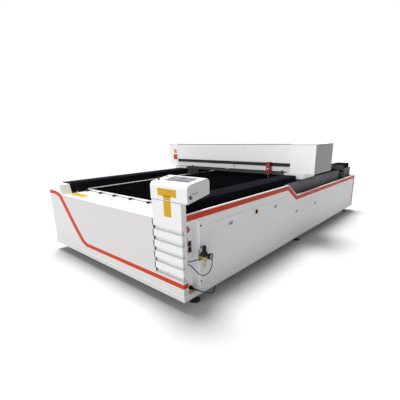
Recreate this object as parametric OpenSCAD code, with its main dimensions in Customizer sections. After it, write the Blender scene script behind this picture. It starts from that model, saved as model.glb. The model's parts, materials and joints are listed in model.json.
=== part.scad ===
// Flatbed carbon dioxide laser engraving and cutting machine with a moving gantry.
// Origin: floor level, middle of the footprint. +X is the operator's right, +Y is the back, +Z is up.
// A "station" is a distance in millimetres back from the front face of the body.

/* [Body] */
// Width over the base band
body_w = 2100; // [1900:10:2600]
// Length over the base band
body_l = 4000; // [3400:10:4800]
// Top of the side panels above the floor
side_h = 727; // [700:1:760]
// Top of the right side panel behind the chain notch
notch_h = 592; // [540:1:640]
// Station where the notch starts to drop
notch_at = 1580; // [1400:10:1700]
// Length of the notch's slope
notch_run = 217; // [150:1:300]
// Top of the front ledge above the floor
ledge_h = 671; // [650:1:690]
// Clear height under the body
floor_gap = 85; // [60:1:110]
// Height of the proud band round the base
band_h = 40; // [25:1:50]
// How far the base band stands proud of the panels
band_proud = 6; // [3:1:8]
// Sheet metal thickness
sheet = 2; // [1.5:0.5:3]
// Width of the folded lip on top of each side panel
lip_w = 14; // [8:1:25]

/* [Frame and feet] */
// Outer size of the square frame tube
tube = 60; // [50:5:70]
// Wall of the frame tube
tube_wall = 4; // [3:0.5:6]
// Number of cross frames
frames = 4; // [3:1:6]
// Diameter of a foot pad
foot_d = 90; // [60:5:110]
// Diameter of a foot's threaded stem
stem_d = 20; // [12:1:24]

/* [Front pillar, pod and ledge] */
// Width of the pillar at the front right
pillar_w = 300; // [250:5:360]
// Depth of the pillar
pillar_d = 47; // [40:1:60]
// Height of one louvre
louvre_pitch = 85; // [60:1:100]
// Depth of a louvre
louvre_deep = 16; // [8:1:24]
// Number of louvres
louvres = 5; // [3:1:5]
// Width of the control pod
pod_w = 368; // [330:2:420]
// Depth of the control pod
pod_deep = 222; // [180:2:240]
// Bottom of the control pod above the floor
pod_z = 809; // [780:1:830]
// Height of the control pod at its front
pod_h = 128; // [100:1:150]
// Rise of the pod's top and bottom towards the back
pod_rise = 22; // [0:1:40]
// Depth of the front ledge
ledge_deep = 300; // [260:5:340]
// Length of the cover over the left front corner
corner_deep = 110; // [80:5:160]

/* [Bed] */
// Distance from each long rail inwards to the bed's clear edge
bed_in = 112; // [100:1:160]
// Top of the bed's rim above the floor
rim_h = 690; // [670:1:700]
// Depth of the bed tray
tray_deep = 110; // [80:5:140]
// Distance between slats
slat_pitch = 100; // [60:5:150]
// Height of a slat
slat_h = 45; // [30:1:60]
// Thickness of a slat
slat_t = 3; // [2:0.5:5]
// Distance between the teeth of a slat
tooth_pitch = 50; // [25:5:75]
// Height of a tooth
tooth_h = 12; // [6:1:18]

/* [Rails, bellows and belts] */
// Distance of each long rail inwards from the side panel's face
rail_in = 182; // [165:1:205]
// Width of a rail beam
rail_beam_w = 150; // [120:5:160]
// Height of a rail beam
rail_beam_h = 200; // [160:5:220]
// Width and height of a linear rail
rail_s = 20; // [15:1:25]
// Width of a bellows
bellows_w = 185; // [170:1:186]
// Height of a bellows
bellows_h = 93; // [85:1:96]
// Length of one pleat
pleat = 33; // [25:1:45]
// Depth of a pleat
pleat_deep = 9; // [5:1:12]
// Pitch radius of a belt pulley
pulley_r = 19; // [14:1:20]

/* [Gantry] */
// How far each of the gantry's end covers stands out over the body's side
end_over = 108; // [60:1:150]
// Station of the gantry's front face at rest
gantry_at = 1950; // [1900:10:2000]
// Depth of the gantry
gantry_deep = 516; // [460:2:560]
// Top of the gantry above the floor
gantry_h = 1129; // [1080:1:1180]
// Bottom of the right end cover above the floor
box_z = 806; // [800:1:815]
// Bottom of the front apron above the floor
apron_z = 820; // [815:1:830]
// Bottom of the slot that the head passes along
slot_z = 872; // [862:1:880]
// Height of the slot
slot_h = 46; // [40:1:56]
// Width of the left end cover
left_box_w = 178; // [150:2:200]
// Width of the right end cover
right_box_w = 288; // [260:2:300]
// Width and height of the gantry beam
beam_w = 150; // [120:5:160]
// Height of the gantry beam
beam_h = 190; // [150:5:200]
// Diameter of the laser tube
laser_d = 80; // [60:1:90]
// Length of the laser tube
laser_l = 1650; // [1400:10:1700]

/* [Head] */
// Position of the head along the gantry at rest
head_x = 611; // [500:1:640]
// Width of the head
head_w = 46; // [40:1:60]
// Depth of the head
head_deep = 44; // [40:1:50]
// Diameter of the lens tube
lens_d = 28; // [22:1:30]
// Tip of the nozzle above the floor
tip_z = 745; // [735:1:755]
// Running gap between parts that slide or turn
run_gap = 0.1; // [0.1:0.05:0.3]

/* [Drag chain] */
// Width of the chain
chain_w = 56; // [40:1:58]
// Height of a chain link
link_h = 45; // [30:1:50]
// Length of a chain link
link_l = 48; // [36:1:60]
// Outer radius of the chain's bend
bend_r = 145; // [130:1:150]
// Top of the chain at its bend above the floor
chain_top = 790; // [785:1:795]
// Station of the bend's centre at rest
bend_at = 3345; // [3200:5:3400]
// Station of the chain's fixed end
chain_fixed = 2510; // [2450:5:2540]

/* [Doors and side fittings] */
// Station of the front access door's front edge
door_at = 285; // [280:1:330]
// Length of the front access door
door_l = 1334; // [1000:2:1340]
// Top of the front access door above the floor
door_top = 613; // [580:1:640]
// Station of the rear access door's front edge
rear_door_at = 1700; // [1680:5:1800]
// Length of the rear access door
rear_door_l = 840; // [700:10:1000]
// Top of the rear access door above the floor
rear_door_top = 472; // [430:1:500]
// Gap round a door
door_gap = 1.5; // [1:0.5:3]
// Inward return of a door's edge
door_return = 16; // [10:1:25]
// Depth of the interface recess behind the side panel
recess_deep = 34; // [25:1:45]
// Length of the interface recess
recess_l = 88; // [80:1:95]
// Top of the interface recess above the floor
recess_top = 662; // [640:1:670]
// Diameter of the emergency stop button
estop_d = 40; // [30:1:44]
// Diameter of the exhaust collars
exhaust_d = 200; // [150:5:250]
// Length of the exhaust collars
collar_l = 40; // [30:1:60]

/* [Hidden] */
$fn = 48;

white = "whitesmoke";
grey_white = "gainsboro";
black = [0.08, 0.08, 0.09];
dark = [0.22, 0.22, 0.24];
steel = "silver";
red = [0.45, 0.06, 0.1];

touch = 0.5;                                     // gap left between parts that are bolted or welded
front_y = -(body_l + collar_l) / 2;              // front face of the base band
back_y = front_y + body_l;
face_x = body_w / 2 - band_proud;                // outer face of a side panel
face_y = front_y + band_proud;                   // outer face of the front panel
band_z = floor_gap + band_h;
rail_x = face_x - rail_in;                       // middle of the right long rail
bed_w = 2 * (rail_x - bed_in);                   // clear width between the bed's rims
gantry_w = body_w + 2 * end_over;                // width over the gantry's end covers
frame_z = floor_gap + sheet + touch;
nut_d = 1.75 * stem_d;                           // jam nut of a foot, over its corners
recess_at = pillar_d + 3;
recess_x = face_x - recess_deep;                 // face of the interface panel
recess_slant = 24;                               // length of its slanting flange
frame_x = recess_x - sheet - touch - tube / 2;   // middle of a side tube, just behind the interface panel
cross_z = rim_h - rail_beam_h - tube;            // underside of the upper cross tubes
deck_z = cross_z + tube + touch;                 // what stands on the upper cross tubes starts here
pillar_x = face_x - pillar_w;                    // left edge of the front right pillar
rail_z = rim_h + rail_s;                         // top of a linear rail
bed_front = ledge_deep + 12;
bed_back = body_l - 230;
bellows_front = corner_deep + 12;                // station of the front bellows' fixed end
bellows_back = body_l - 90;                      // station of the rear bellows' fixed end
saddle_front = gantry_at - 10;
saddle_back = gantry_at + 350;
saddle_z = 745;                                  // underside of a saddle
drive_at = body_l - 130;                         // station of the drive shaft
idler_at = 190;                                  // station of the idlers
belt_t = 2.4;
belt_w = 14;
belt_x = rail_x - rail_s / 2 - 32;
pulley_z = rim_h - 14;                           // the belts' top run passes just over the rail beams
shaft_d = 20;
axle_d = 16;
bushing = 0.05;                                  // radial running gap of shafts and buttons
gantry_y = front_y + gantry_at;
gantry_back = gantry_y + gantry_deep;
cover_left = -gantry_w / 2 + left_box_w;         // left end of the front cover
cover_right = gantry_w / 2 - right_box_w;        // right end of the front cover
beam_y = gantry_y + 46;                          // front face of the gantry beam
beam_z = box_z + 24;
rail2_z = slot_z + slot_h / 2;                   // middle height of the gantry's rail
laser_y = gantry_back - 120;
laser_z = beam_z + 150;
head_y = gantry_y - head_deep / 2 - 6;           // middle of the head
head_top = slot_z + slot_h + 8;
head_bottom = tip_z + 32;
chain_x = face_x - lip_w - 2 - chain_w;          // inner side of the chain, clear of the side panel's lip
trough_z = chain_top - 2 * bend_r - 3;
bend_y = front_y + bend_at;
bend_z = chain_top - bend_r;
chain_lift = 150;                                // rise of the upper run to its bracket on the gantry
ports = [352, 376];                              // heights of the two air ports
gland = [face_x - 35, front_y + 400];                    // the cable's gland under the right side panel

// route of the long air hose: bulkhead, hanging loop, elbow on the regulator
hose_loop_path = [
    [1024.1, -1946, 352], [1038, -1946, 352], [1055, -1943, 346], [1070, -1937, 332], [1080, -1927, 314],
    [1087, -1913, 294], [1091, -1896, 276], [1093, -1875, 262], [1094, -1852, 254], [1094, -1828, 252],
    [1094, -1804, 257], [1093, -1784, 268], [1092, -1769, 285], [1091, -1759, 306], [1090, -1756, 326],
    [1090, -1756, 346], [1090, -1756, 365.9]
];
// route of the short air hose: bulkhead to the regulator's inlet
hose_short_path = [
    [1024.1, -1946, 376], [1036, -1946, 376], [1048, -1944, 379], [1059, -1939, 384], [1068, -1931, 388],
    [1076, -1921, 391], [1082, -1909, 392], [1088, -1896, 390], [1090, -1884, 389], [1090, -1873.1, 389]
];
// route of the supply cable: inlet plug, loop under the side, gland under the base
cord_path = [
    [1046.1, -1917, 155], [1058, -1917, 155], [1071, -1910, 151], [1079, -1895, 142], [1082, -1878, 131],
    [1083, -1858, 118], [1083, -1836, 104], [1082, -1812, 90], [1080, -1788, 76], [1076, -1764, 63],
    [1070, -1740, 52], [1061, -1716, 44], [1050, -1692, 39], [1038, -1669, 37], [1026, -1650, 40],
    [1016, -1635, 47], [1011, -1625, 57], [1009, -1620, 68], [1009, -1620, 78]
];

module block(lo, hi) translate(lo) cube([hi[0] - lo[0], hi[1] - lo[1], hi[2] - lo[2]]);

// prism along X from x0 to x1, with its outline given in Y and Z
module along_x(x0, x1) translate([x0, 0, 0]) rotate([90, 0, 90]) linear_extrude(x1 - x0) children();

// prism along Y from y0 to y1, with its outline given in X and Z
module along_y(y0, y1) translate([0, y1, 0]) rotate([90, 0, 0]) linear_extrude(y1 - y0) children();

// open-ended square tube along X, Y or Z
module tube_x(x0, x1, y, z) difference() {
    block([x0, y, z], [x1, y + tube, z + tube]);
    block([x0 - 1, y + tube_wall, z + tube_wall], [x1 + 1, y + tube - tube_wall, z + tube - tube_wall]);
}
module tube_y(x, y0, y1, z) difference() {
    block([x, y0, z], [x + tube, y1, z + tube]);
    block([x + tube_wall, y0 - 1, z + tube_wall], [x + tube - tube_wall, y1 + 1, z + tube - tube_wall]);
}
module tube_z(x, y, z0, z1) difference() {
    block([x, y, z0], [x + tube, y + tube, z1]);
    block([x + tube_wall, y + tube_wall, z0 - 1], [x + tube - tube_wall, y + tube - tube_wall, z1 + 1]);
}

// rectangle with round corners, centred
module round_rect(w, h, r) {
    square([w - 2 * r, h], center = true);
    square([w, h - 2 * r], center = true);
    for (x = [-1, 1], y = [-1, 1]) translate([x * (w / 2 - r), y * (h / 2 - r)]) circle(r);
}

// stations of the cross frames: the first stands behind the interface recess
first_frame = recess_at + recess_l + recess_slant + 8;
function frame_station(i) = first_frame + i * (body_l - 70 - tube - first_frame) / (frames - 1);

// ---------- frame ----------

module frame() color(dark) {
    for (s = [-1, 1]) tube_y(s * frame_x - tube / 2, front_y + 20, back_y - 20, frame_z);
    for (i = [0 : frames - 1]) {
        y = front_y + frame_station(i);
        inner = frame_x - tube / 2 - touch;
        tube_x(-inner, inner, y, frame_z);
        for (s = [-1, 1]) tube_z(s * frame_x - tube / 2, y, frame_z + tube + touch, cross_z - touch);
        tube_x(-frame_x - tube / 2, frame_x + tube / 2, y, cross_z);
        for (x = [-bed_w / 3, bed_w / 3]) if (front_y + bed_front < y && y < front_y + bed_back)
            tube_z(x - tube / 2, y, deck_z, rim_h - tray_deep - touch);
    }
}

module levelling_foot() {
    cylinder(d = foot_d, h = 12);
    translate([0, 0, 12]) cylinder(d1 = foot_d - 14, d2 = 46, h = 10);
    cylinder(d = stem_d, h = frame_z - touch);
    translate([0, 0, frame_z - touch - 16]) cylinder(d = nut_d, h = 15, $fn = 6);
}

module levelling_feet() color(steel)
    for (s = [-1, 1], i = [0 : 2])
        translate([s * frame_x, front_y + 180 + i * (body_l - 360) / 2, 0]) levelling_foot();

// ---------- sheet metal body ----------

// section of the front panel: base band, step, face and folded top
module front_section(top) polygon([
    [front_y, floor_gap], [front_y, band_z], [face_y, band_z + band_proud], [face_y, top],
    [face_y + 20, top], [face_y + 20, top - sheet], [face_y + sheet, top - sheet],
    [face_y + sheet, band_z + band_proud - 1], [front_y + sheet, band_z - 1],
    [front_y + sheet, floor_gap + sheet], [front_y + 44, floor_gap + sheet], [front_y + 44, floor_gap]
]);

louvre_z = ledge_h - 2 - louvres * louvre_pitch;    // bottom of the louvres

module front_panel() color(white) {
    low_top = louvre_z - touch;
    inner = face_x - sheet - touch;
    difference() {
        along_x(-body_w / 2, body_w / 2) front_section(low_top);
        block([-body_w, face_y + sheet, band_z + band_proud], [-inner, face_y + 60, low_top + 1]);
        for (s = [0, 1]) mirror([s, 0, 0]) {
            block([face_x, front_y - 1, band_z], [body_w / 2 + 1, face_y + 60, low_top + 1]);
            block([inner, front_y + sheet, floor_gap - 1], [body_w / 2 + 1, face_y + 60, band_z]);
        }
    }
    difference() {
        along_x(-face_x, pillar_x - touch) front_section(ledge_h - sheet - touch);
        block([-body_w, face_y + sheet, low_top - 11], [-inner, face_y + 60, ledge_h]);
        block([-body_w, front_y - 1, 0], [body_w, face_y + 40, low_top - 10]);
    }
    block([face_x - sheet, face_y + sheet / 2, band_z + band_proud],
          [face_x, face_y + pillar_d - 1, low_top]);
}

// zigzag sheet of the louvres down to a flat back: depth behind the face across, height up
module louvre_section(back) polygon(concat(
    [[back, ledge_h - 2], [2, ledge_h - 2]],
    [for (i = [0 : louvres - 1]) let (top = ledge_h - 2 - i * louvre_pitch) each [
        [0, top - 0.62 * louvre_pitch], [louvre_deep, top - 0.66 * louvre_pitch],
        [louvre_deep, top - louvre_pitch + 6], [3, top - louvre_pitch]
    ]],
    [[back, louvre_z]]
));

// louvres over the pillar's front, mitred at the corner and carried along its short side
module louvre_panel() color(white) {
    back = louvre_deep + sheet;
    wrap = pillar_d - 5 - 2 * sheet;
    difference() {
        intersection() {
            translate([0, face_y, 0]) along_x(pillar_x, face_x) louvre_section(wrap);
            translate([face_x, 0, 0]) mirror([1, 0, 0]) along_y(face_y, face_y + wrap)
                louvre_section(face_x - pillar_x);
        }
        block([pillar_x - 1, face_y + back, louvre_z - 1],
              [face_x - back, face_y + wrap + 1, ledge_h]);
    }
    block([face_x - back, face_y + wrap, louvre_z], [face_x, face_y + wrap + sheet, ledge_h - 2]);
    for (x = [pillar_x, face_x - sheet])
        block([x, face_y + (x == pillar_x ? back : wrap), louvre_z],
              [x + sheet, face_y + pillar_d - 1, ledge_h - 2]);
}

module front_ledge() color(white) difference() {
    along_x(-face_x, face_x) polygon([
        [face_y, ledge_h - sheet], [face_y, ledge_h], [front_y + ledge_deep, ledge_h],
        [front_y + ledge_deep, ledge_h - 40], [front_y + ledge_deep - sheet, ledge_h - 40],
        [front_y + ledge_deep - sheet, ledge_h - sheet]
    ]);
    block([pillar_x - touch, face_y - 1, 0], [body_w, face_y + pillar_d, ledge_h + 1]);
    block([face_x - sheet - touch, face_y, 0], [body_w, back_y, ledge_h + 1]);
    for (s = [-1, 1])
        block([s > 0 ? bed_w / 2 + 12 : -face_x - 1, face_y + corner_deep - 30, 0],
              [s > 0 ? face_x + 1 : -bed_w / 2 - 12, back_y, ledge_h + 1]);
}

// outline of the corner cover, shrunk by t: one round shoulder, one sloping side
module corner_outline(t) {
    left = -face_x;
    right = -rail_x + bellows_w / 2 + 22;
    top = side_h + 43;
    r = 26;
    difference() {
        polygon([
            [left + t, ledge_h], [left + t, top - t],
            [right - 34 - t / 2, top - t], [right - t * 1.1, ledge_h]
        ]);
        difference() {
            translate([left, top - r]) square(r);
            translate([left + r, top - r]) circle(r - t);
        }
    }
}

module corner_cover() color(white) difference() {
    along_y(face_y, face_y + corner_deep) corner_outline(0);
    translate([0, 0, -0.01]) along_y(face_y + sheet, face_y + corner_deep + 1) corner_outline(sheet);
}

module clamp_bar() color(white) {
    y = front_y + ledge_deep - 44;
    block([-bed_w / 2 + 15, y, ledge_h + touch], [pillar_x - 15, y + 34, ledge_h + 6]);
}

// top line of the side panels: a lower stretch behind the notch on the right side
module side_outline(low, notched) {
    top = side_h;
    y0 = face_y + sheet + touch;
    y1 = back_y - band_proud;
    polygon(notched
        ? [[y0, low], [y1, low], [y1, notch_h], [front_y + notch_at + notch_run, notch_h],
           [front_y + notch_at, top], [y0, top]]
        : [[y0, low], [y1, low], [y1, top], [y0, top]]);
}

module side_sheet(notched) difference() {
    union() {
        along_x(face_x - sheet, face_x) side_outline(band_z, notched);
        difference() {
            along_x(face_x - lip_w, face_x) side_outline(band_z, notched);
            translate([0, 0, -sheet]) along_x(face_x - lip_w - 1, face_x - sheet / 2)
                side_outline(0, notched);
        }
        block([face_x - sheet, front_y + sheet + touch, floor_gap],
              [body_w / 2, back_y - sheet - touch, band_z]);
        block([frame_x + nut_d / 2 + 3, front_y + 60, floor_gap],
              [body_w / 2, back_y - 60, floor_gap + sheet]);
    }
    block([frame_x, front_y - 1, floor_gap + sheet], [body_w / 2 - sheet, back_y + 1, band_z - sheet]);
}

module right_side_panel() color(grey_white) difference() {
    side_sheet(true);
    block([face_x - 20, face_y - 1, band_z + 1],
          [face_x + 1, front_y + recess_at + recess_l + recess_slant + touch, recess_top]);
    block([face_x - 40, face_y - 1, recess_top - 1], [face_x + 1, face_y + pillar_d - touch, side_h + 1]);
    block([face_x - 20, front_y + door_at - door_gap, band_z + 6],
          [face_x + 1, front_y + door_at + door_l + door_gap, door_top + door_gap]);
    block([face_x - 20, front_y + rear_door_at - door_gap, band_z + 6],
          [face_x + 1, front_y + rear_door_at + rear_door_l + door_gap, rear_door_top + door_gap]);
}

module left_side_panel() color(grey_white) difference() {
    mirror([1, 0, 0]) side_sheet(false);
    block([-face_x - 1, face_y - 1, ledge_h - sheet], [-face_x + 40, face_y + corner_deep + 1, side_h + 1]);
}

exhaust_x = 520;
exhaust_z = 330;

rear_top = notch_h - sheet - touch;              // top of the rear panel, under the side panel's lip

module rear_panel() color(grey_white) difference() {
    inner = face_x - sheet - touch;
    union() {
        along_x(-inner, inner) polygon([
            [back_y, floor_gap], [back_y, band_z], [back_y - band_proud, band_z + band_proud],
            [back_y - band_proud, rear_top], [back_y - band_proud - 20, rear_top],
            [back_y - band_proud - 20, rear_top - sheet], [back_y - band_proud - sheet, rear_top - sheet],
            [back_y - band_proud - sheet, band_z + band_proud - 1], [back_y - sheet, band_z - 1],
            [back_y - sheet, floor_gap + sheet], [back_y - 44, floor_gap + sheet], [back_y - 44, floor_gap]
        ]);
        block([-body_w / 2, back_y - sheet, floor_gap], [body_w / 2, back_y, band_z]);
        for (s = [-1, 1]) translate([s * exhaust_x, back_y - band_proud - sheet, exhaust_z])
            rotate([-90, 0, 0]) {
                cylinder(d = exhaust_d + 4, h = collar_l + band_proud + sheet, $fn = 96);
                cylinder(d = exhaust_d + 50, h = sheet * 2, $fn = 96);
            }
    }
    for (s = [-1, 1]) translate([s * exhaust_x, back_y - 30, exhaust_z]) rotate([-90, 0, 0])
        cylinder(d = exhaust_d, h = collar_l + 60, $fn = 96);
}

// ---------- bed ----------

slat_top = rim_h + 8;                            // tips of the slats' teeth
bearer_in = 60;                                  // distance of a slat bearer from the bed's clear edge

// open tray with drain holes and the two bearers that carry the slats
module bed_tray() color(black) {
    half = bed_w / 2;
    low = rim_h - tray_deep;
    difference() {
        block([-half - 10, front_y + bed_front - 8, low], [half + 10, front_y + bed_back + 8, rim_h]);
        block([-half, front_y + bed_front, low + sheet], [half, front_y + bed_back, rim_h + 1]);
        for (x = [-half + 190, 0, half - 190]) for (i = [0 : 3])
            translate([x, front_y + bed_front + (i + 0.5) * (bed_back - bed_front) / 4, low - 1])
                cylinder(d = 150, h = sheet + 2);
    }
    for (s = [-1, 1])
        block([s * (half - bearer_in) - 3, front_y + bed_front - 1, low + 1],
              [s * (half - bearer_in) + 3, front_y + bed_back + 1, slat_top - slat_h - touch]);
}

slats = floor((bed_back - bed_front - 40) / slat_pitch);
teeth = floor((bed_w - 40) / tooth_pitch);

module slat() {
    half = teeth * tooth_pitch / 2;
    top = slat_top;
    rotate([90, 0, 0]) linear_extrude(slat_t, center = true) polygon(concat(
        [[-half, top - slat_h], [-half, top]],
        [for (i = [0 : teeth - 1]) each [
            [-half + (i + 0.5) * tooth_pitch, top - tooth_h],
            [-half + (i + 1) * tooth_pitch, top]
        ]],
        [[half, top - slat_h]]
    ));
}

module bed_slats() color(dark)
    for (i = [0 : slats - 1]) translate([0, front_y + bed_front + 30 + i * slat_pitch, 0]) slat();

// ---------- rails, bellows and belts ----------

rail_beam_y = front_y + 92;

// one hollow beam, slotted on top for the pulleys, with a bearing boss at each end
module rail_beam() difference() {
    union() {
        block([rail_x - rail_beam_w / 2, rail_beam_y, rim_h - rail_beam_h],
              [rail_x + rail_beam_w / 2, back_y - 60, rim_h - 0.1]);
        for (at = [idler_at, drive_at]) translate([rail_x - rail_beam_w / 2, front_y + at, pulley_z])
            rotate([0, -90, 0]) cylinder(d = 54, h = 6);
    }
    difference() {
        block([rail_x - rail_beam_w / 2 + 5, front_y, rim_h - rail_beam_h + 5],
              [rail_x + rail_beam_w / 2 - 5, back_y, rim_h - 5.1]);
        for (at = [idler_at, drive_at]) translate([rail_x - rail_beam_w / 2 + 11, front_y + at, pulley_z])
            rotate([0, -90, 0]) cylinder(d = 54, h = 12);
    }
    block([0, front_y, rim_h - 0.1], [body_w, back_y, rim_h + 60]);
    for (p = [[idler_at, axle_d], [drive_at, shaft_d]]) translate([0, front_y + p[0], 0]) {
        block([belt_x - belt_w / 2 - 6, -32, pulley_z], [belt_x + belt_w / 2 + 6, 32, rim_h + 1]);
        translate([belt_x, 0, pulley_z]) rotate([0, -90, 0]) cylinder(r = p[1] / 2 + bushing, h = 80);
    }
}

module rail_beams() color(dark) {
    rail_beam();
    mirror([1, 0, 0]) rail_beam();
}

module linear_rails() color(steel) for (s = [-1, 1]) translate([s * rail_x, 0, 0]) difference() {
    block([-rail_s / 2, front_y + 130, rim_h], [rail_s / 2, back_y - 100, rail_z]);
    for (t = [-1, 1])
        block([t * rail_s / 2 - 3, front_y, rail_z - 11], [t * rail_s / 2 + 3, back_y, rail_z - 6]);
}

// points of a row of pleats of height d between two ends
function pleats(y0, y1, v, d) = let (n = max(2, round((y1 - y0) / pleat)), p = (y1 - y0) / n)
    concat([[y0, v - d]], [for (i = [0 : n - 1]) each [[y0 + (i + 0.5) * p, v], [y0 + (i + 1) * p, v - d]]]);

// folded cover, open underneath: pleated on the top and on both sides
module bellows(y0, y1) {
    top = rim_h + bellows_h;
    low = rim_h + touch;
    difference() {
        intersection() {
            along_x(-bellows_w / 2, bellows_w / 2)
                polygon(concat(pleats(y0, y1, top, pleat_deep), [[y1, low], [y0, low]]));
            translate([0, 0, low]) linear_extrude(bellows_h) polygon(concat(
                [for (p = pleats(y0, y1, bellows_w / 2, pleat_deep)) [p[1], p[0]]],
                [for (p = [for (q = pleats(y0, y1, bellows_w / 2, pleat_deep)) q]) [-p[1], y0 + y1 - p[0]]]
            ));
        }
        block([-bellows_w / 2 + pleat_deep + 5, y0 - 1, low - 1],
              [bellows_w / 2 - pleat_deep - 5, y1 + 1, top - pleat_deep - 5]);
    }
}

module front_bellows() color(black) for (s = [-1, 1]) translate([s * rail_x, 0, 0])
    bellows(front_y + bellows_front, front_y + saddle_front - touch);

module rear_bellows() color(black) for (s = [-1, 1]) translate([s * rail_x, 0, 0])
    bellows(front_y + saddle_back + touch, front_y + bellows_back);

module belt_outline(r) {
    y0 = front_y + idler_at;
    y1 = front_y + drive_at;
    translate([y0, pulley_z]) circle(r);
    translate([y1, pulley_z]) circle(r);
    translate([y0, pulley_z - r]) square([y1 - y0, 2 * r]);
}

module y_belts() color(black) for (s = [-1, 1])
    along_x(s * belt_x - belt_w / 2, s * belt_x + belt_w / 2) difference() {
        belt_outline(pulley_r + belt_t);
        belt_outline(pulley_r);
    }

module pulley() rotate([0, 90, 0]) {
    cylinder(r = pulley_r - run_gap, h = belt_w + 3, center = true);
    for (s = [-1, 1]) translate([0, 0, s * (belt_w / 2 + 2.5)])
        cylinder(r = pulley_r + belt_t + 2, h = 2, center = true);
}

module y_drive_shaft() color(steel) translate([0, front_y + drive_at, pulley_z]) {
    rotate([0, 90, 0]) cylinder(d = shaft_d, h = 2 * belt_x + belt_w + 10, center = true);
    for (s = [-1, 1]) translate([s * belt_x, 0, 0]) pulley();
    for (x = [-210, 120]) translate([x, 0, 0]) rotate([0, 90, 0]) cylinder(d = 44, h = 50);
}

module y_idlers() color(steel) translate([0, front_y + idler_at, pulley_z]) {
    for (s = [-1, 1]) {
        translate([s * belt_x, 0, 0]) pulley();
        translate([s * (belt_x - 10), 0, 0]) rotate([0, 90, 0]) cylinder(d = axle_d, h = 66, center = true);
    }
}

// gearbox on the shaft and the servo motor hanging from it
module y_motor() color(dark) translate([0, front_y + drive_at, pulley_z]) difference() {
    union() {
        block([-60, -40, -40], [60, 34, 34]);
        block([-43, -43, -150], [43, 43, -38]);
        for (i = [0 : 5]) block([-46, -46, -142 + i * 15], [46, 46, -136 + i * 15]);
        block([-38, -38, deck_z - pulley_z + 6], [38, 38, -149]);
        block([-70, 8, deck_z - pulley_z], [70, 52, deck_z - pulley_z + 7]);
    }
    rotate([0, 90, 0]) cylinder(r = shaft_d / 2 + bushing, h = 140, center = true);
}

// ---------- drag chain ----------

cover_z = rim_h + 10;                            // top of the covers beside the bellows
// back end of the right cover, where the notch reaches it, and front end of the chain's trough behind it
cover_end = front_y + notch_at - 6 + notch_run * (side_h - cover_z - sheet) / (side_h - notch_h);
channel_at = cover_end + 26;

// folded channel beside each rail beam: it carries the chain on the right and closes the gap elsewhere
module side_channels() color(dark) {
    wall_x = chain_x - 8;
    side = rail_x + bellows_w / 2 + 1.5;         // the covers start beside the bellows
    difference() {
        along_y(channel_at, back_y - 30) polygon([
            [wall_x, deck_z], [wall_x + 2, deck_z], [wall_x + 2, trough_z - 2],
            [face_x - sheet - 1, trough_z - 2], [face_x - sheet - 1, trough_z + 20],
            [face_x - sheet - 3, trough_z + 20], [face_x - sheet - 3, trough_z],
            [wall_x + 2, trough_z], [wall_x + 2, side_h - 12], [wall_x - 7, side_h - 12],
            [wall_x - 7, side_h - 14], [wall_x, side_h - 14]
        ]);
        for (i = [0 : 3]) translate([chain_x + chain_w / 2, front_y + 1900 + i * 560, trough_z - 10])
            cylinder(d = 12, h = 20);
    }
    for (p = [[0, cover_end], [1, back_y - 30]]) mirror([p[0], 0, 0])
        along_y(front_y + 122, p[1]) polygon([
            [side, cover_z - 30], [side, cover_z], [face_x - sheet - touch, cover_z],
            [face_x - sheet - touch, cover_z - 16], [face_x - sheet - touch - 2, cover_z - 16],
            [face_x - sheet - touch - 2, cover_z - 2], [side + 2, cover_z - 2], [side + 2, cover_z - 30]
        ]);
}

plate_t = 6;                                     // thickness of a link's two side plates
bar_l = 16;                                      // length of the crossbars in the middle of a link
bar_t = 8;                                       // their thickness
window_l = link_l - bar_l;                       // opening between two crossbars
way_h = link_h - 2 - 2 * bar_t;                  // height of the way inside the links

// a chain of links: outline outside, with the second outline cut out between the side plates
module chain_body() difference() {
    along_x(chain_x, chain_x + chain_w) children(0);
    along_x(chain_x + plate_t, chain_x + chain_w - plate_t) children(1);
}

module straight_links(n) for (i = [0 : n - 1])
    translate([(i + 0.5) * link_l, 0]) round_rect(link_l + 0.02, link_h - 2 - (i % 2) * 5, 6);

module chain_lower_run() color(black) {
    n = floor((bend_at - chain_fixed) / link_l);
    start = bend_y - n * link_l - touch;
    chain_body() {
        translate([start, trough_z + 3 + link_h / 2]) straight_links(n);
        translate([start, trough_z + 3 + link_h / 2]) {
            translate([-1, -way_h / 2]) square([n * link_l + 2, way_h]);
            for (i = [0 : n]) translate([i * link_l, 0]) square([window_l, 2 * link_h], center = true);
        }
    }
    block([chain_x, start - 46, trough_z + touch], [chain_x + chain_w, start, trough_z + 3 + link_h - 6]);
}

module chain_bend() color(black) {
    n = ceil(PI * (bend_r - link_h / 2) / link_l);
    chain_body() {
        translate([bend_y, bend_z]) intersection() {
            difference() {
                for (i = [0 : n - 1]) rotate(-90 + (i + 0.5) * 180 / n)
                    translate([bend_r - link_h / 2, 0])
                        round_rect(link_h - 2 - (i % 2) * 5, link_l * 1.16, 7);
                circle(bend_r - link_h + 1);
            }
            translate([0, -bend_r]) square([bend_r, 2 * bend_r]);
        }
        translate([bend_y, bend_z]) {
            difference() {
                circle(bend_r - link_h / 2 + way_h / 2);
                circle(bend_r - link_h / 2 - way_h / 2);
            }
            for (i = [0 : n]) rotate(-90 + i * 180 / n) translate([bend_r - link_h / 2, 0])
                square([2 * link_h, window_l * 0.9], center = true);
        }
    }
}

chain_end = gantry_back + 14;                    // where the chain leaves its bracket on the gantry

// the upper run climbs from the bend to the bracket on a shallow curve
function climb(t) = chain_lift * t * t;
// pivot i of the upper run's n links
function pivot(i, n) = [bend_y - touch - i / n * (bend_y - touch - chain_end),
                        chain_top - link_h / 2 + climb(i / n)];

// place something at a point of the upper run, turned along the line between two pivots
module on_run(at, a, b) translate(at) rotate(atan2(b[1] - a[1], b[0] - a[0])) children();

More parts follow.
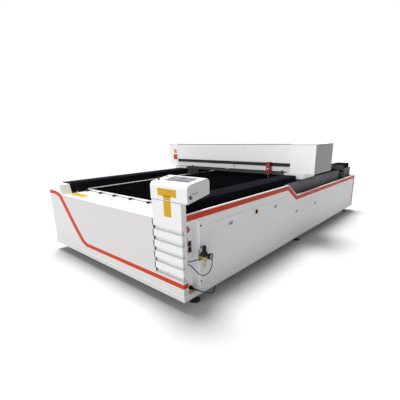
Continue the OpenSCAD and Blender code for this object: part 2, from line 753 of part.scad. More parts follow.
module chain_upper_run() color(black) {
    n = round((bend_y - chain_end) / link_l);
    reach = norm(pivot(1, n) - pivot(0, n));
    chain_body() {
        intersection() {
            for (i = [0 : n - 1]) on_run((pivot(i, n) + pivot(i + 1, n)) / 2, pivot(i, n), pivot(i + 1, n))
                round_rect(norm(pivot(i + 1, n) - pivot(i, n)) + 1, link_h - 2 - (i % 2) * 5, 6);
            translate([chain_end, 0]) square([bend_y - touch - chain_end, 2 * gantry_h]);
        }
        union() {
            for (i = [0 : n - 1]) on_run((pivot(i, n) + pivot(i + 1, n)) / 2, pivot(i, n), pivot(i + 1, n))
                square([norm(pivot(i + 1, n) - pivot(i, n)) + 3, way_h], center = true);
            for (i = [0 : n]) on_run(pivot(i, n), pivot(max(i - 1, 0), n), pivot(min(i + 1, n), n))
                square([reach - bar_l, 2 * link_h], center = true);
        }
    }
}

// ---------- control pod ----------

pod_right = face_x + 61;
pod_left = pod_right - pod_w;
pod_edge = 8;                                    // radius of the pod's lower edges
pod_round = 34;                                  // radius of its upper edges
pod_side = 4;                                    // radius of the edges round its two sides
button = [pod_left + 33, face_y + 58];
pod_slope = pod_rise / pod_deep;                 // slope of the pod's top
under_slope = 40 / pod_deep;                     // slope of its underside

// wrapped sheet pillar, open at the back and cut to the pod's sloping underside
module pod_column() color(white) difference() {
    along_x(pillar_x, face_x) polygon([
        [face_y, ledge_h - 1.5], [face_y, pod_z - touch], [face_y + pod_edge, pod_z - touch],
        [face_y + pillar_d - 1, pod_z - touch + (pillar_d - 1 - pod_edge) * under_slope],
        [face_y + pillar_d - 1, ledge_h - 1.5]
    ]);
    block([pillar_x + sheet, face_y + sheet, ledge_h - 3], [face_x - sheet, face_y + pillar_d, pod_z + 40]);
}

// side view of the pod, shrunk by t: sloping top and underside, round upper corners
module pod_profile(t) offset(delta = -t) hull() for (y = [0, pod_deep]) {
    low = pod_z + max(0, y - pod_edge) * under_slope;
    top = pod_z + pod_h + y * pod_slope;
    for (p = [[low + pod_edge, pod_edge], [top - pod_round, pod_round]])
        translate([face_y + (y == 0 ? p[1] : y - p[1]), p[0]]) circle(p[1], $fn = 48);
}

module pod_shell() color(white) difference() {
    hull() for (s = [[0, 1], [0.3, 0.3], [1, 0]])
        along_x(pod_left + s[0] * pod_side, pod_right - s[0] * pod_side) pod_profile(s[1] * pod_side);
    translate([pod_left + 78, face_y + 58, pod_z + pod_h + 58 * pod_slope - 2])
        rotate([atan(pod_slope), 0, 0]) linear_extrude(60) translate([122, 58]) round_rect(244, 116, 8);
    translate([button[0], button[1], pod_z + pod_h - 16]) cylinder(r = 7 + 2 * bushing, h = 60);
    for (z = [pod_z + 58, pod_z + 67])
        block([pod_right - 6, face_y + 40, z], [pod_right + 1, face_y + 100, z + 4]);
}

module pod_button() color(black) translate([button[0], button[1], pod_z + pod_h - 10]) {
    cylinder(r = 7, h = 26);
    translate([0, 0, 25]) cylinder(r = 10, h = 6);
}

// ---------- interface panel ----------

recess_ends = [band_z + 1.5, recess_top - 0.5 - sheet];    // undersides of the recess's floor and roof

module interface_panel() color(grey_white) {
    y0 = front_y + recess_at;
    y1 = y0 + recess_l;
    difference() {
        union() {
        translate([0, 0, band_z + 1.5]) linear_extrude(recess_top - band_z - 2) polygon([
            [face_x - sheet - touch, y0], [recess_x - sheet, y0], [recess_x - sheet, y1],
            [face_x - sheet, y1 + recess_slant], [face_x, y1 + recess_slant],
            [face_x, y1 + recess_slant - 2], [recess_x, y1 - 2], [recess_x, y0 + sheet],
            [face_x - sheet - touch, y0 + sheet]
        ]);
        for (z = recess_ends) translate([0, 0, z]) linear_extrude(sheet) polygon([
            [face_x - sheet - touch, y0 + 1], [recess_x - 1, y0 + 1], [recess_x - 1, y1],
            [face_x - 1, y1 + recess_slant - 1], [face_x - 1, face_y + pillar_d + 1],
            [face_x - sheet - touch, face_y + pillar_d + 1]
        ]);
        }
        for (p = [[31, estop_z], [22, key_z], [24, 352], [24, 376]])
            translate([recess_x - 10, y0 + p[0], p[1]]) rotate([0, 90, 0])
                cylinder(d = p[1] > 400 ? 18 : 13, h = 20);
        for (z = [rocker_z, rocker_z - 46])
            block([recess_x - 10, y0 + 60 - 12, z - 17], [recess_x + 1, y0 + 60 + 12, z + 17]);
    }
}

estop_z = 609;
key_z = 552;
rocker_z = 497;
fit_y = front_y + recess_at;                     // front edge of the interface recess
module estop_collar() translate([recess_x, fit_y + 31, estop_z]) rotate([0, 90, 0]) difference() {
    cylinder(d = estop_d + 4, h = 7);
    translate([0, 0, -1]) cylinder(r = 8 + bushing, h = 20);
}

module key_barrel() translate([recess_x, fit_y + 22, key_z]) rotate([0, 90, 0]) difference() {
    union() {
        cylinder(d = 28, h = 4);
        cylinder(d = 20, h = 10);
    }
    translate([0, 0, -1]) cylinder(r = 5 + bushing, h = 20);
}

// frame of a rocker with the pin that the rocker turns on
module rocker_frame(z) {
    translate([recess_x + 1, fit_y + 60, z]) rotate([90, 0, 0])
        cylinder(r = rocker_pin - bushing, h = 22.2, center = true);
    difference() {
        block([recess_x + 0.2, fit_y + 60 - 15, z - 20], [recess_x + 4, fit_y + 60 + 15, z + 20]);
        block([recess_x - 1, fit_y + 60 - 11, z - 16], [recess_x + 6, fit_y + 60 + 11, z + 16]);
    }
}

module small_socket(z) difference() {
    block([recess_x + touch, fit_y + 14, z - 13], [recess_x + 4, fit_y + 36, z + 13]);
    block([recess_x + 1.5, fit_y + 18, z - 9], [recess_x + 6, fit_y + 32, z + 9]);
}

// bulkhead for an air hose: a hexagon and a sleeve
module hose_port(z) translate([recess_x + touch, fit_y + 24, z]) rotate([0, 90, 0]) {
    cylinder(d = 18, h = 6, $fn = 6);
    cylinder(d = 12, h = 13.5);
}

// supply inlet with its plug pushed in, the plug's grip and its tapered end
module supply_plug() translate([0, fit_y + 53, 155]) rotate([0, 90, 0]) {
    translate([0, 0, recess_x + touch]) cylinder(d = 34, h = 6);
    translate([0, 0, recess_x + 6]) cylinder(d = 26, h = 16);
    translate([0, 0, recess_x + 22]) cylinder(d1 = 20, d2 = 12, h = recess_deep - 20);
}

module cord_gland() translate([gland[0], gland[1], 78]) {
    cylinder(d = 14, h = 4);
    translate([0, 0, 3]) cylinder(d = 20, h = floor_gap - 81 - touch, $fn = 6);
}

module panel_fittings() color(black) {
    estop_collar();
    key_barrel();
    for (z = [rocker_z, rocker_z - 46]) rocker_frame(z);
    for (z = [rocker_z, rocker_z - 46]) small_socket(z);
    for (z = ports) hose_port(z);
    supply_plug();
    cord_gland();
}

module estop_button() color("firebrick") translate([recess_x - 16, fit_y + 31, estop_z]) rotate([0, 90, 0]) {
    cylinder(r = 8, h = 36);
    translate([0, 0, 29]) cylinder(d1 = estop_d - 4, d2 = estop_d, h = 5);
    translate([0, 0, 34]) cylinder(d1 = estop_d, d2 = estop_d - 10, h = 6);
}

module key() color(black) translate([recess_x - 8, fit_y + 22, key_z]) rotate([0, 90, 0]) {
    cylinder(r = 5, h = 20);
    translate([0, 0, 20]) difference() {
        union() {
            translate([-5, -9, 0]) cube([10, 18, 3]);
            translate([-1.5, -12, 2]) cube([3, 24, 20]);
        }
        translate([-5, 0, 15]) rotate([0, 90, 0]) cylinder(r = 3, h = 10);
    }
}

// rocker switch cap with its two slopes, turning on a pin across the frame
rocker_tilt = 8;
rocker_pin = 2;
module rocker(z) color(red) translate([recess_x + 1, fit_y + 60, z]) along_y(-9.5, 9.5)
    rotate(rocker_tilt) difference() {
        polygon([[-8, -8], [4, -14.5], [7, -14], [4.5, 0], [7, 14], [4, 14.5], [-8, 8]]);
        circle(rocker_pin);
    }
module rocker_upper() rocker(rocker_z);
module rocker_lower() rocker(rocker_z - 46);

// ---------- air filter regulator ----------

reg = [face_x + 46, front_y + 178, 413];         // middle of the underside of the regulator's bonnet
port_z = reg[2] - 24;
gauge_at = [face_x + 56, reg[1] + 41, port_z];
elbow_y = front_y + 264;                         // middle of the outlet elbow

// body, bonnet and bowl ring as one revolved casting, with its ports and bracket
module regulator_body() color(dark) difference() {
    union() {
        translate(reg) rotate_extrude() polygon([
            [0, -52], [13, -52], [13, -45], [15, -43], [15, -1], [24, -1], [26.5, 2], [26.5, 6], [18, 24],
            [0, 24]
        ]);
        translate([reg[0], reg[1], reg[2] - 40]) linear_extrude(32) round_rect(34, 34, 6);
        translate([reg[0], reg[1] - 31, port_z]) rotate([-90, 0, 0]) cylinder(d = 12, h = 31);
        translate([reg[0], reg[1], port_z]) rotate([-90, 0, 0]) cylinder(d = 12, h = elbow_y - reg[1]);
        translate([reg[0], elbow_y, port_z - 23]) cylinder(d = 14, h = 31);
        translate([reg[0], gauge_at[1], port_z]) rotate([0, 90, 0])
            cylinder(d = 9, h = gauge_at[0] - reg[0] - touch);
        translate([reg[0] - 32, reg[1] - 7, reg[2] - 34]) cube([30, 16, 12]);
        translate([face_x + touch, reg[1] - 11, reg[2] - 46]) cube([14, 40, 36]);
    }
    translate([reg[0], reg[1], reg[2] + 4]) cylinder(r = 8 + bushing, h = 30);
    translate([face_x + touch + 4, reg[1] + 9, reg[2] - 60]) cube([30, 40, 60]);
    translate([face_x + touch + 4, reg[1] - 20, reg[2] - 60]) cube([11, 60, 26]);
}

module regulator_bowl() color("khaki") translate([reg[0], reg[1], reg[2] - 52 - touch]) mirror([0, 0, 1])
    rotate_extrude() polygon([
        [0, 0], [14, 0], [14, 7], [11.5, 8], [10.5, 34], [7, 40], [3.5, 41], [3.5, 52], [0, 52]
    ]);

module regulator_knob() color(black) translate([reg[0], reg[1], reg[2] + 24 + touch]) difference() {
    union() {
        translate([0, 0, -14]) cylinder(r = 8, h = 16);
        cylinder(d = 31, h = 38);
        translate([0, 0, 38]) cylinder(d1 = 31, d2 = 25, h = 4);
    }
    for (a = [0 : 30 : 330]) rotate([0, 0, a]) translate([17, 0, 6]) cylinder(d = 5, h = 40);
}

module gauge() color(black) translate(gauge_at) rotate([0, 90, 0]) difference() {
    cylinder(d = 46, h = 20);
    translate([0, 0, 15]) cylinder(d = 41, h = 6);
    translate([0, 0, 8]) cylinder(r = 1.5 + bushing, h = 8);
}

// needle at zero, pointing down to the left of the dial
module gauge_needle() color("black") translate(gauge_at) rotate([225, 0, 0]) rotate([0, 90, 0]) {
    translate([0, 0, 10]) cylinder(r = 1.5, h = 8);
    translate([0, 0, 16.5]) linear_extrude(1) polygon([[-1.6, -5], [1.6, -5], [0.6, 16], [-0.6, 16]]);
    translate([0, 0, 16.5]) cylinder(r = 3, h = 2);
}

// ---------- doors and power supply ----------

door_bottom = band_z + 6 + door_gap;
bead_r = 2.5;                                    // hinge bead rolled along a door's lower edge

// door sheet with returned edges, standing between two stations and swinging about its lower bead
module door(y0, y1, z1) {
    z0 = door_bottom;
    translate([face_x - 3, (y0 + y1) / 2, z0 + 3]) rotate([90, 0, 0])
        cylinder(r = bead_r, h = y1 - y0 - 2, center = true);
    difference() {
        block([face_x - door_return, y0, z0], [face_x, y1, z1]);
        block([face_x - door_return - 1, y0 + sheet, z0 + sheet], [face_x - sheet, y1 - sheet, z1 - sheet]);
    }
}

// opening for a flush finger pull
module pull_cut(y, z) block([face_x - 20, y - 30, z - 14], [face_x + 1, y + 30, z + 14]);

// dished finger pull set into a door
module pull(y, z) difference() {
    block([face_x - 14, y - 30 + touch, z - 14 + touch], [face_x, y + 30 - touch, z + 14 - touch]);
    translate([face_x + 8, y, z]) rotate([90, 0, 0]) cylinder(r = 13, h = 44, center = true);
}

front_pulls = [front_y + 562, front_y + 1308];
pull_z = 553;
rear_pulls = [front_y + 1818, front_y + 2356];
rear_pull_z = 406;
lock = [front_y + 940, 574];

module front_door() color(grey_white) {
    y0 = front_y + door_at;
    difference() {
        door(y0, y0 + door_l, door_top);
        for (y = front_pulls) pull_cut(y, pull_z);
        translate([face_x - 20, lock[0], lock[1]]) rotate([0, 90, 0]) cylinder(r = 11 + bushing, h = 30);
    }
    for (y = front_pulls) pull(y, pull_z);
    translate([face_x, lock[0], lock[1]]) rotate([0, 90, 0]) linear_extrude(3) difference() {
        round_rect(60, 42, 5);
        circle(11 + bushing);
    }
}

module rear_door() color(grey_white) {
    y0 = front_y + rear_door_at;
    difference() {
        door(y0, y0 + rear_door_l, rear_door_top);
        for (y = rear_pulls) pull_cut(y, rear_pull_z);
    }
    for (y = rear_pulls) pull(y, rear_pull_z);
}

// quarter-turn lock: barrel through the door, wing grip outside and cam inside, turned to unlocked
module door_lock() color(black) translate([face_x, lock[0], lock[1]]) rotate([0, 90, 0]) {
    translate([0, 0, -26]) cylinder(r = 11, h = 32);
    translate([0, 0, 5]) linear_extrude(11) round_rect(36, 13, 5);
    translate([-8, -12, -26]) cube([16, 66, 4]);
}

// high-voltage supply in its vented case on a floor plate that spans the frame
module laser_power_supply() color(dark) {
    y0 = front_y + 620;
    shelf = frame_z + tube + touch;
    z0 = shelf + 3;
    difference() {
        block([frame_x - 330, y0, z0 - 1], [frame_x - 90, y0 + 420, z0 + 190]);
        for (i = [0 : 9])
            block([frame_x - 96, y0 + 40 + i * 36, z0 + 50], [frame_x - 80, y0 + 52 + i * 36, z0 + 140]);
    }
    block([frame_x - 360, front_y + frame_station(0) + tube + 6, shelf],
          [frame_x + tube / 2 - 4, front_y + frame_station(1) - 6, z0]);
}

// ---------- gantry ----------

module gantry_beam() color(grey_white) {
    reach = rail_x + 150;
    difference() {
        block([-reach, beam_y, beam_z], [reach, beam_y + beam_w, beam_z + beam_h]);
        block([-reach - 1, beam_y + 6, beam_z + 6], [reach + 1, beam_y + beam_w - 6, beam_z + beam_h - 6]);
    }
    for (s = [0, 1]) mirror([s, 0, 0])
        block([rail_x - 50, beam_y, box_z + touch], [rail_x + 130, beam_y + 250, beam_z]);
}

// one saddle: tapered housing over the rail with two bearing blocks under it
module saddle() {
    y0 = front_y + saddle_front;
    y1 = front_y + saddle_back;
    along_y(y0, y1) polygon([
        [-60, box_z], [-60, saddle_z + 14], [-46, saddle_z], [160, saddle_z], [184, box_z]
    ]);
    for (y = [y0 + 40, y1 - 140]) difference() {
        block([-26, y, rail_z - 16], [26, y + 100, saddle_z + 1]);
        block([-rail_s / 2 - 0.2, y - 1, rail_z - 20], [rail_s / 2 + 0.2, y + 101, rail_z + 0.2]);
    }
    clamp_z = pulley_z + pulley_r + belt_t + touch;
    block([belt_x - rail_x - 11, y0 + 150, clamp_z], [belt_x - rail_x + 11, y0 + 200, saddle_z + 1]);
}

module saddles() color(white) {
    translate([rail_x, 0, 0]) saddle();
    mirror([1, 0, 0]) translate([rail_x, 0, 0]) saddle();
}

cover_gap = 1;

module gantry_covers() color(white) {
    x0 = cover_left + cover_gap;
    x1 = cover_right - cover_gap;
    top = gantry_h - 3;
    // upper front cover, folded in at the slot and at the top
    along_x(x0, x1) polygon([
        [gantry_y, slot_z + slot_h], [gantry_y, top], [gantry_y + 26, top], [gantry_y + 26, top - sheet],
        [gantry_y + sheet, top - sheet], [gantry_y + sheet, slot_z + slot_h + sheet],
        [gantry_y + 12, slot_z + slot_h + sheet], [gantry_y + 12, slot_z + slot_h]
    ]);
    // apron under the slot
    along_x(x0, x1) polygon([
        [gantry_y, apron_z], [gantry_y, slot_z], [gantry_y + 12, slot_z], [gantry_y + 12, slot_z - sheet],
        [gantry_y + sheet, slot_z - sheet], [gantry_y + sheet, apron_z + sheet],
        [beam_y - touch - 0.5, apron_z + sheet], [beam_y - touch - 0.5, apron_z]
    ]);
    // floor and back
    along_x(x0, x1) polygon([
        [beam_y + beam_w + touch, beam_z], [gantry_back, beam_z], [gantry_back, top],
        [gantry_back - sheet, top], [gantry_back - sheet, beam_z + sheet],
        [beam_y + beam_w + touch, beam_z + sheet]
    ]);
}

// end cover: a box open towards the middle and underneath
module end_cover(x0, x1, z0, open) difference() {
    block([x0, gantry_y - 3, z0], [x1, gantry_back, gantry_h]);
    block([open < 0 ? x0 - 1 : x0 + sheet, gantry_y - 3 + sheet, z0 - 1],
          [open < 0 ? x1 - sheet : x1 + 1, gantry_back - sheet, gantry_h - sheet]);
}

module gantry_end_covers() color(white) {
    end_cover(-gantry_w / 2, cover_left, apron_z - 2, 1);
    end_cover(cover_right, gantry_w / 2, box_z + touch, -1);
    block([chain_x + 2, gantry_back, chain_top - link_h + chain_lift + 2],
          [chain_x + chain_w - 2, chain_end - touch, chain_top + chain_lift - 2]);
}

hinge_r = 4;

module gantry_lid() color(white) {
    x0 = cover_left + cover_gap;
    x1 = cover_right - cover_gap;
    along_x(x0, x1) polygon([
        [gantry_y + 1, gantry_h - 2], [gantry_y + 1, gantry_h], [gantry_back - 12, gantry_h],
        [gantry_back - 12, gantry_h - 2]
    ]);
    for (i = [0 : 3]) translate([x0 + 120 + i * (x1 - x0 - 300) / 3, 0, 0]) {
        translate([0, gantry_back - hinge_r - 1, gantry_h - 3 + hinge_r + touch]) rotate([0, 90, 0])
            cylinder(r = hinge_r, h = 60);
        block([0, gantry_back - 16, gantry_h - touch], [60, gantry_back - 5, gantry_h + 2]);
    }
    for (x = [x0 + 220, x1 - 220])
        block([x, gantry_y + 8, gantry_h - touch], [x + 60, gantry_y + 26, gantry_h + 8]);
}

module laser_tube() color("lightcyan") translate([0, laser_y, laser_z]) rotate([0, 90, 0]) {
    cylinder(d = laser_d, h = laser_l, center = true);
    for (s = [-1, 1]) translate([0, 0, s * (laser_l / 2 + 14)]) {
        cylinder(d = laser_d * 0.62, h = 40, center = true);
        translate([0, 0, s * 26]) cylinder(d = laser_d * 0.35, h = 30, center = true);
    }
}

module tube_clamps() color("white") for (x = [-laser_l / 3, laser_l / 3]) translate([x, laser_y, 0]) {
    z0 = beam_z + sheet + touch;
    difference() {
        block([-20, -laser_d / 2 - 18, z0], [20, laser_d / 2 + 18, laser_z + laser_d / 2 + 10]);
        translate([0, 0, laser_z]) rotate([0, 90, 0]) cylinder(d = laser_d + 1, h = 60, center = true);
    }
}

module x_rail() color(steel) difference() {
    block([cover_left + 60, beam_y - 14, rail2_z - 10], [cover_right - 20, beam_y - touch / 5, rail2_z + 10]);
    for (t = [-1, 1])
        block([-body_w, beam_y - 10, rail2_z + t * 10 - 2.5], [body_w, beam_y - 6, rail2_z + t * 10 + 2.5]);
}

module x_motor() color(dark) translate([cover_right + 140, beam_y - 20, beam_z + beam_h + touch]) {
    block([-43, -20, 0], [43, 66, 66]);
    block([-30, -8, 66], [30, 54, 74]);
}

module dust_strip() color(black)
    block([cover_left + 2, gantry_y + 5, slot_z + 5], [cover_right - 2, gantry_y + 6.5, slot_z + slot_h - 5]);

// comb of bristles under the apron, with a toothed top rail
module dust_brush() color(black) {
    x0 = -rail_x + 175;
    x1 = rail_x - 72;
    n = round((x1 - x0) / 30);
    p = (x1 - x0) / n;
    along_y(gantry_y - 4, gantry_y - touch) polygon(concat(
        [[x0, 778], [x0, apron_z - 12]],
        [for (i = [0 : n - 1]) each [
            [x0 + (i + 0.15) * p, apron_z - 5], [x0 + (i + 0.65) * p, apron_z - 5],
            [x0 + (i + 0.8) * p, apron_z - 12], [x0 + (i + 1) * p, apron_z - 12]
        ]],
        [[x1, 778]]
    ));
    block([x0, gantry_y - 4, apron_z - touch - 5], [x0 + 30, gantry_y - 2, apron_z + 12]);
    block([x1 - 30, gantry_y - 4, apron_z - touch - 5], [x1, gantry_y - 2, apron_z + 12]);
}

// mirror on an adjustable plate, facing along its own -Y, on a foot
module mirror_mount(foot) {
    rotate([90, 0, 0]) cylinder(d = 40, h = 12);
    translate([-28, 0, -28]) cube([56, 6, 56]);
    translate([-28, 10, -28]) cube([56, 8, 56]);
    for (p = [[-22, -22], [22, 22], [22, -22]])
        translate([p[0], 26, p[1]]) rotate([90, 0, 0]) cylinder(d = 7, h = 22);
    translate([-16, 10, foot]) cube([32, 8, -foot - 27]);
}

module beam_mirrors() color("goldenrod") {
    z0 = beam_z + beam_h;
    translate([-rail_x - 60, laser_y, laser_z + 26]) rotate([0, 0, -135]) mirror_mount(-60);
    translate([-rail_x - 60, beam_y + 26, z0 + 70]) rotate([0, 0, 45]) mirror_mount(-69);
}

// ---------- carriage and head ----------

module carriage_plate() color(dark) translate([head_x, 0, rail2_z]) {
    difference() {
        block([-38, beam_y - 26, -24], [38, beam_y - 4, 24]);
        block([-39, beam_y - 14 - 0.2, -10.2], [39, beam_y, 10.2]);
    }
    block([-45, beam_y - 32, -50 + 12], [45, beam_y - 26, 60]);
    translate([0, 0, 60]) block([-30, beam_y - 40, 0], [30, beam_y - 26, 56]);
}

arm_t = 3;

// head body outside the slot, carried by two thin arms above and below the dust strip
module head_body() color(red) {
    lo = slot_z + 1;
    hi = slot_z + slot_h - 1;
    difference() {
        union() {
            block([head_x - head_w / 2, head_y - head_deep / 2, head_bottom],
                  [head_x + head_w / 2, head_y + head_deep / 2, head_top]);
            for (z = [lo, hi - arm_t])
                block([head_x - 16, head_y, z], [head_x + 16, beam_y - 32 - touch, z + arm_t]);
        }
        translate([head_x, head_y, head_bottom - 1]) cylinder(r = lens_d / 2 + bushing, h = 110);
        translate([head_x, head_y - head_deep, head_bottom + 70]) rotate([-90, 0, 0])
            cylinder(d = 9, h = head_deep);
    }
}

module lens_tube() color(red) translate([head_x, head_y, 0]) difference() {
    union() {
        translate([0, 0, head_bottom - 4]) cylinder(d = lens_d, h = 84);
        translate([0, 0, tip_z + 14]) cylinder(d1 = 18, d2 = lens_d, h = head_bottom - 18 - tip_z);
        translate([0, 0, tip_z]) cylinder(d1 = 8, d2 = 18, h = 14);
    }
    translate([0, 0, tip_z - 1]) cylinder(d = 4, h = 30);
    translate([0, 0, head_bottom]) cylinder(d = lens_d - 8, h = 90);
}

// ---------- hoses and cable ----------

function unit(v) = v / norm(v);

// direction of a path at point i
function heading(p, i) = unit(p[min(i + 1, len(p) - 1)] - p[max(i - 1, 0)]);

// round tube of 8 or more sides swept along a path's own points
module swept(path, d, sides) {
    up = [0.3, 0.2, 1];
    rings = [for (i = [0 : len(path) - 1])
        let (t = heading(path, i), a = unit(cross(t, cross(up, t))), b = cross(t, a))
        for (k = [0 : sides - 1]) path[i] + d / 2 * (cos(360 * k / sides) * a + sin(360 * k / sides) * b)];
    last = len(path) - 1;
    polyhedron(rings, concat(
        [[for (k = [0 : sides - 1]) k]],
        [for (i = [0 : last - 1], k = [0 : sides - 1]) let (a = i * sides, b = a + sides, j = (k + 1) % sides)
            each [[a + k, b + k, b + j], [a + k, b + j, a + j]]],
        [[for (k = [sides - 1 : -1 : 0]) last * sides + k]]
    ));
}

module air_hose_loop() color(black) swept(hose_loop_path, 7, 10);
module air_hose_short() color(black) swept(hose_short_path, 7, 10);
module power_cord() color(black) swept(cord_path, 9, 10);

frame();
levelling_feet();
front_panel();
louvre_panel();
front_ledge();
corner_cover();
clamp_bar();
left_side_panel();
right_side_panel();
rear_panel();
bed_tray();
bed_slats();
rail_beams();
linear_rails();
front_bellows();
rear_bellows();
side_channels();
chain_lower_run();
y_belts();
y_motor();
pod_shell();
pod_column();
interface_panel();
panel_fittings();
regulator_body();
regulator_bowl();
gauge();
laser_power_supply();
y_drive_shaft();
y_idlers();
estop_button();
key();
rocker_upper();
rocker_lower();
pod_button();
regulator_knob();
gauge_needle();
front_door();
door_lock();
rear_door();
gantry_beam();
saddles();
gantry_covers();
gantry_end_covers();
gantry_lid();
laser_tube();
tube_clamps();
x_rail();
x_motor();
dust_strip();
dust_brush();
beam_mirrors();
chain_upper_run();
chain_bend();
carriage_plate();
head_body();
lens_tube();
air_hose_loop();
air_hose_short();
power_cord();
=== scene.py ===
"""Looks of a flatbed carbon dioxide laser engraving machine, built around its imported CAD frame.

Sizes are in millimetres inside the classes and become metres when a shape is put into a mesh.
+X is the operator's right, +Y the back of the machine, +Z up. A station is a distance back from the front face.
"""
from __future__ import annotations

import json
import logging
import math
from dataclasses import dataclass, field
from enum import Enum
from typing import Any, Callable, Iterable, Sequence

import bmesh
import bpy
import numpy as np
from mathutils import Matrix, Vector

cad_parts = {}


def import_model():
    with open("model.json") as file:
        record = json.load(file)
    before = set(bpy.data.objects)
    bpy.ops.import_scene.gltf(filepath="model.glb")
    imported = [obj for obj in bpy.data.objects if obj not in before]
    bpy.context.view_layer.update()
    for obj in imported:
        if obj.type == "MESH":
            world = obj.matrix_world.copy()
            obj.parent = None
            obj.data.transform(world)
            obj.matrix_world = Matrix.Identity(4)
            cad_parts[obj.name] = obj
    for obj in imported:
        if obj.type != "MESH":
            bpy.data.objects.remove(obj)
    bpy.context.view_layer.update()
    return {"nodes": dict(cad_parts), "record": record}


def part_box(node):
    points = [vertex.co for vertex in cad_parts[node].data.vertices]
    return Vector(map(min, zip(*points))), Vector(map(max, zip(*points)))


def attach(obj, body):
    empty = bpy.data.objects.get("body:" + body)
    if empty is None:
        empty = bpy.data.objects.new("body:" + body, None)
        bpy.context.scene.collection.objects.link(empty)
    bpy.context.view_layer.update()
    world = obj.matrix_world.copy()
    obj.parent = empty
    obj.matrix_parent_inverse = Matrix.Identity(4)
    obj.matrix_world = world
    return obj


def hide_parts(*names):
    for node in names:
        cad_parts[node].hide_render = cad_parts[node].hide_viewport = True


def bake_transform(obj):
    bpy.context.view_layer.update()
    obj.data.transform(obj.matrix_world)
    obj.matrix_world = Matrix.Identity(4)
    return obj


LOG = logging.getLogger("laser_machine")
MM = 0.001
SUNK = 0.2  # how deep, in millimetres, an applied piece reaches into what it lies on
WELD = 1e-6  # distance in metres under which points are one
SLIVER = 1e-7  # length in metres under which an edge is dissolved
RGB = tuple[float, float, float]
Points = tuple[tuple[float, ...], ...]


# ---------------------------------------------------------------- shader values


def operator(operation: str, swapped: bool = False) -> Callable[..., "Value"]:
    """Make an operator of Value, which adds one Math node.

    Args:
        operation: the node's operation.
        swapped: whether the operator's own value comes second.
    Returns:
        A method that takes a value, a socket or a plain number.
    """
    def method(self: "Value", other: Any = 0.0) -> "Value":
        """Result of the operation on this value and another."""
        first, second = (other, self) if swapped else (self, other)
        return Value(self.graph, self.graph.node("Math", {0: first, 1: second}, operation=operation).outputs[0])
    return method


class Value:
    """A number that varies over a surface: a shader socket on which Python's operators add Math nodes."""

    def __init__(self, graph: "Graph", socket: bpy.types.NodeSocket) -> None:
        """Wrap one output socket of a graph."""
        self.graph, self.socket = graph, socket

    __add__ = __radd__ = operator("ADD")
    __sub__, __rsub__ = operator("SUBTRACT"), operator("SUBTRACT", swapped=True)
    __mul__ = __rmul__ = operator("MULTIPLY")
    __gt__ = operator("GREATER_THAN")
    __abs__ = operator("ABSOLUTE")
    sine = operator("SINE")

    def clamped(self) -> "Value":
        """The value kept between zero and one."""
        return Value(self.graph, self.graph.node("Clamp", {"Value": self}).outputs[0])


class Graph:
    """The node tree of one material or world."""

    def __init__(self, owner: bpy.types.Material | bpy.types.World) -> None:
        """Empty the node tree of its owner.

        Args:
            owner: a new material or world.
        """
        self.owner = owner
        owner.use_nodes = True
        self.tree = owner.node_tree
        self.tree.nodes.clear()

    def node(self, kind: str, inputs: dict[Any, Any] | None = None, **settings: Any) -> bpy.types.Node:
        """Add a node.

        Args:
            kind: its type name, without the "ShaderNode" at the front.
            inputs: numbers, colours, values or sockets for its inputs, by name or index.
            settings: its properties; "stops" are a ramp's (position, colour) pairs.
        Returns:
            The node.
        """
        node = self.tree.nodes.new("ShaderNode" + kind)
        for key, setting in settings.items():
            if key != "stops":
                setattr(node, key, setting)
                continue
            ramp = node.color_ramp.elements
            while len(ramp) < len(setting):
                ramp.new(0.5)
            for stop, (position, colour) in zip(ramp, setting):
                stop.position, stop.color = position, (*colour, 1.0)
        for key, given in (inputs or {}).items():
            given = given.socket if isinstance(given, Value) else given
            if isinstance(given, bpy.types.NodeSocket):
                self.tree.links.new(given, node.inputs[key])
            else:
                node.inputs[key].default_value = given
        return node

    def place(self, scale: Sequence[float] = (1, 1, 1)) -> bpy.types.NodeSocket:
        """Object coordinates in metres.

        Args:
            scale: factor along each axis.
        Returns:
            The vector socket.
        """
        at = self.node("TexCoord").outputs["Object"]
        if tuple(scale) == (1, 1, 1):
            return at
        return self.node("Mapping", {"Vector": at, "Scale": scale}).outputs[0]

    def axis(self, index: int) -> Value:
        """One object coordinate, 0 for X, 1 for Y and 2 for Z, in metres."""
        return Value(self, self.node("SeparateXYZ", {0: self.place()}).outputs[index])

    def noise(self, scale: float, detail: float = 2.0, stretch: Sequence[float] = (1, 1, 1)) -> Value:
        """Soft random pattern about a half: cells per metre, octaves, and a stretch under one where drawn out."""
        node = self.node("TexNoise", {"Vector": self.place(stretch), "Scale": scale, "Detail": detail})
        return Value(self, node.outputs[0])

    def mix(self, first: Any, second: Any, share: Any) -> bpy.types.NodeSocket:
        """Mix two colours or colour sockets, with a share of the second."""
        colour = [(*c, 1.0) if isinstance(c, tuple) else c for c in (first, second)]
        return self.node("Mix", {0: share, 6: colour[0], 7: colour[1]}, data_type="RGBA").outputs[2]


THREADS = 3900.0  # radians of the cloth's wave per metre
SPANGLES = 140.0  # zinc crystals per metre
SPECKLE = 0.4  # share of fine noise over the crystals


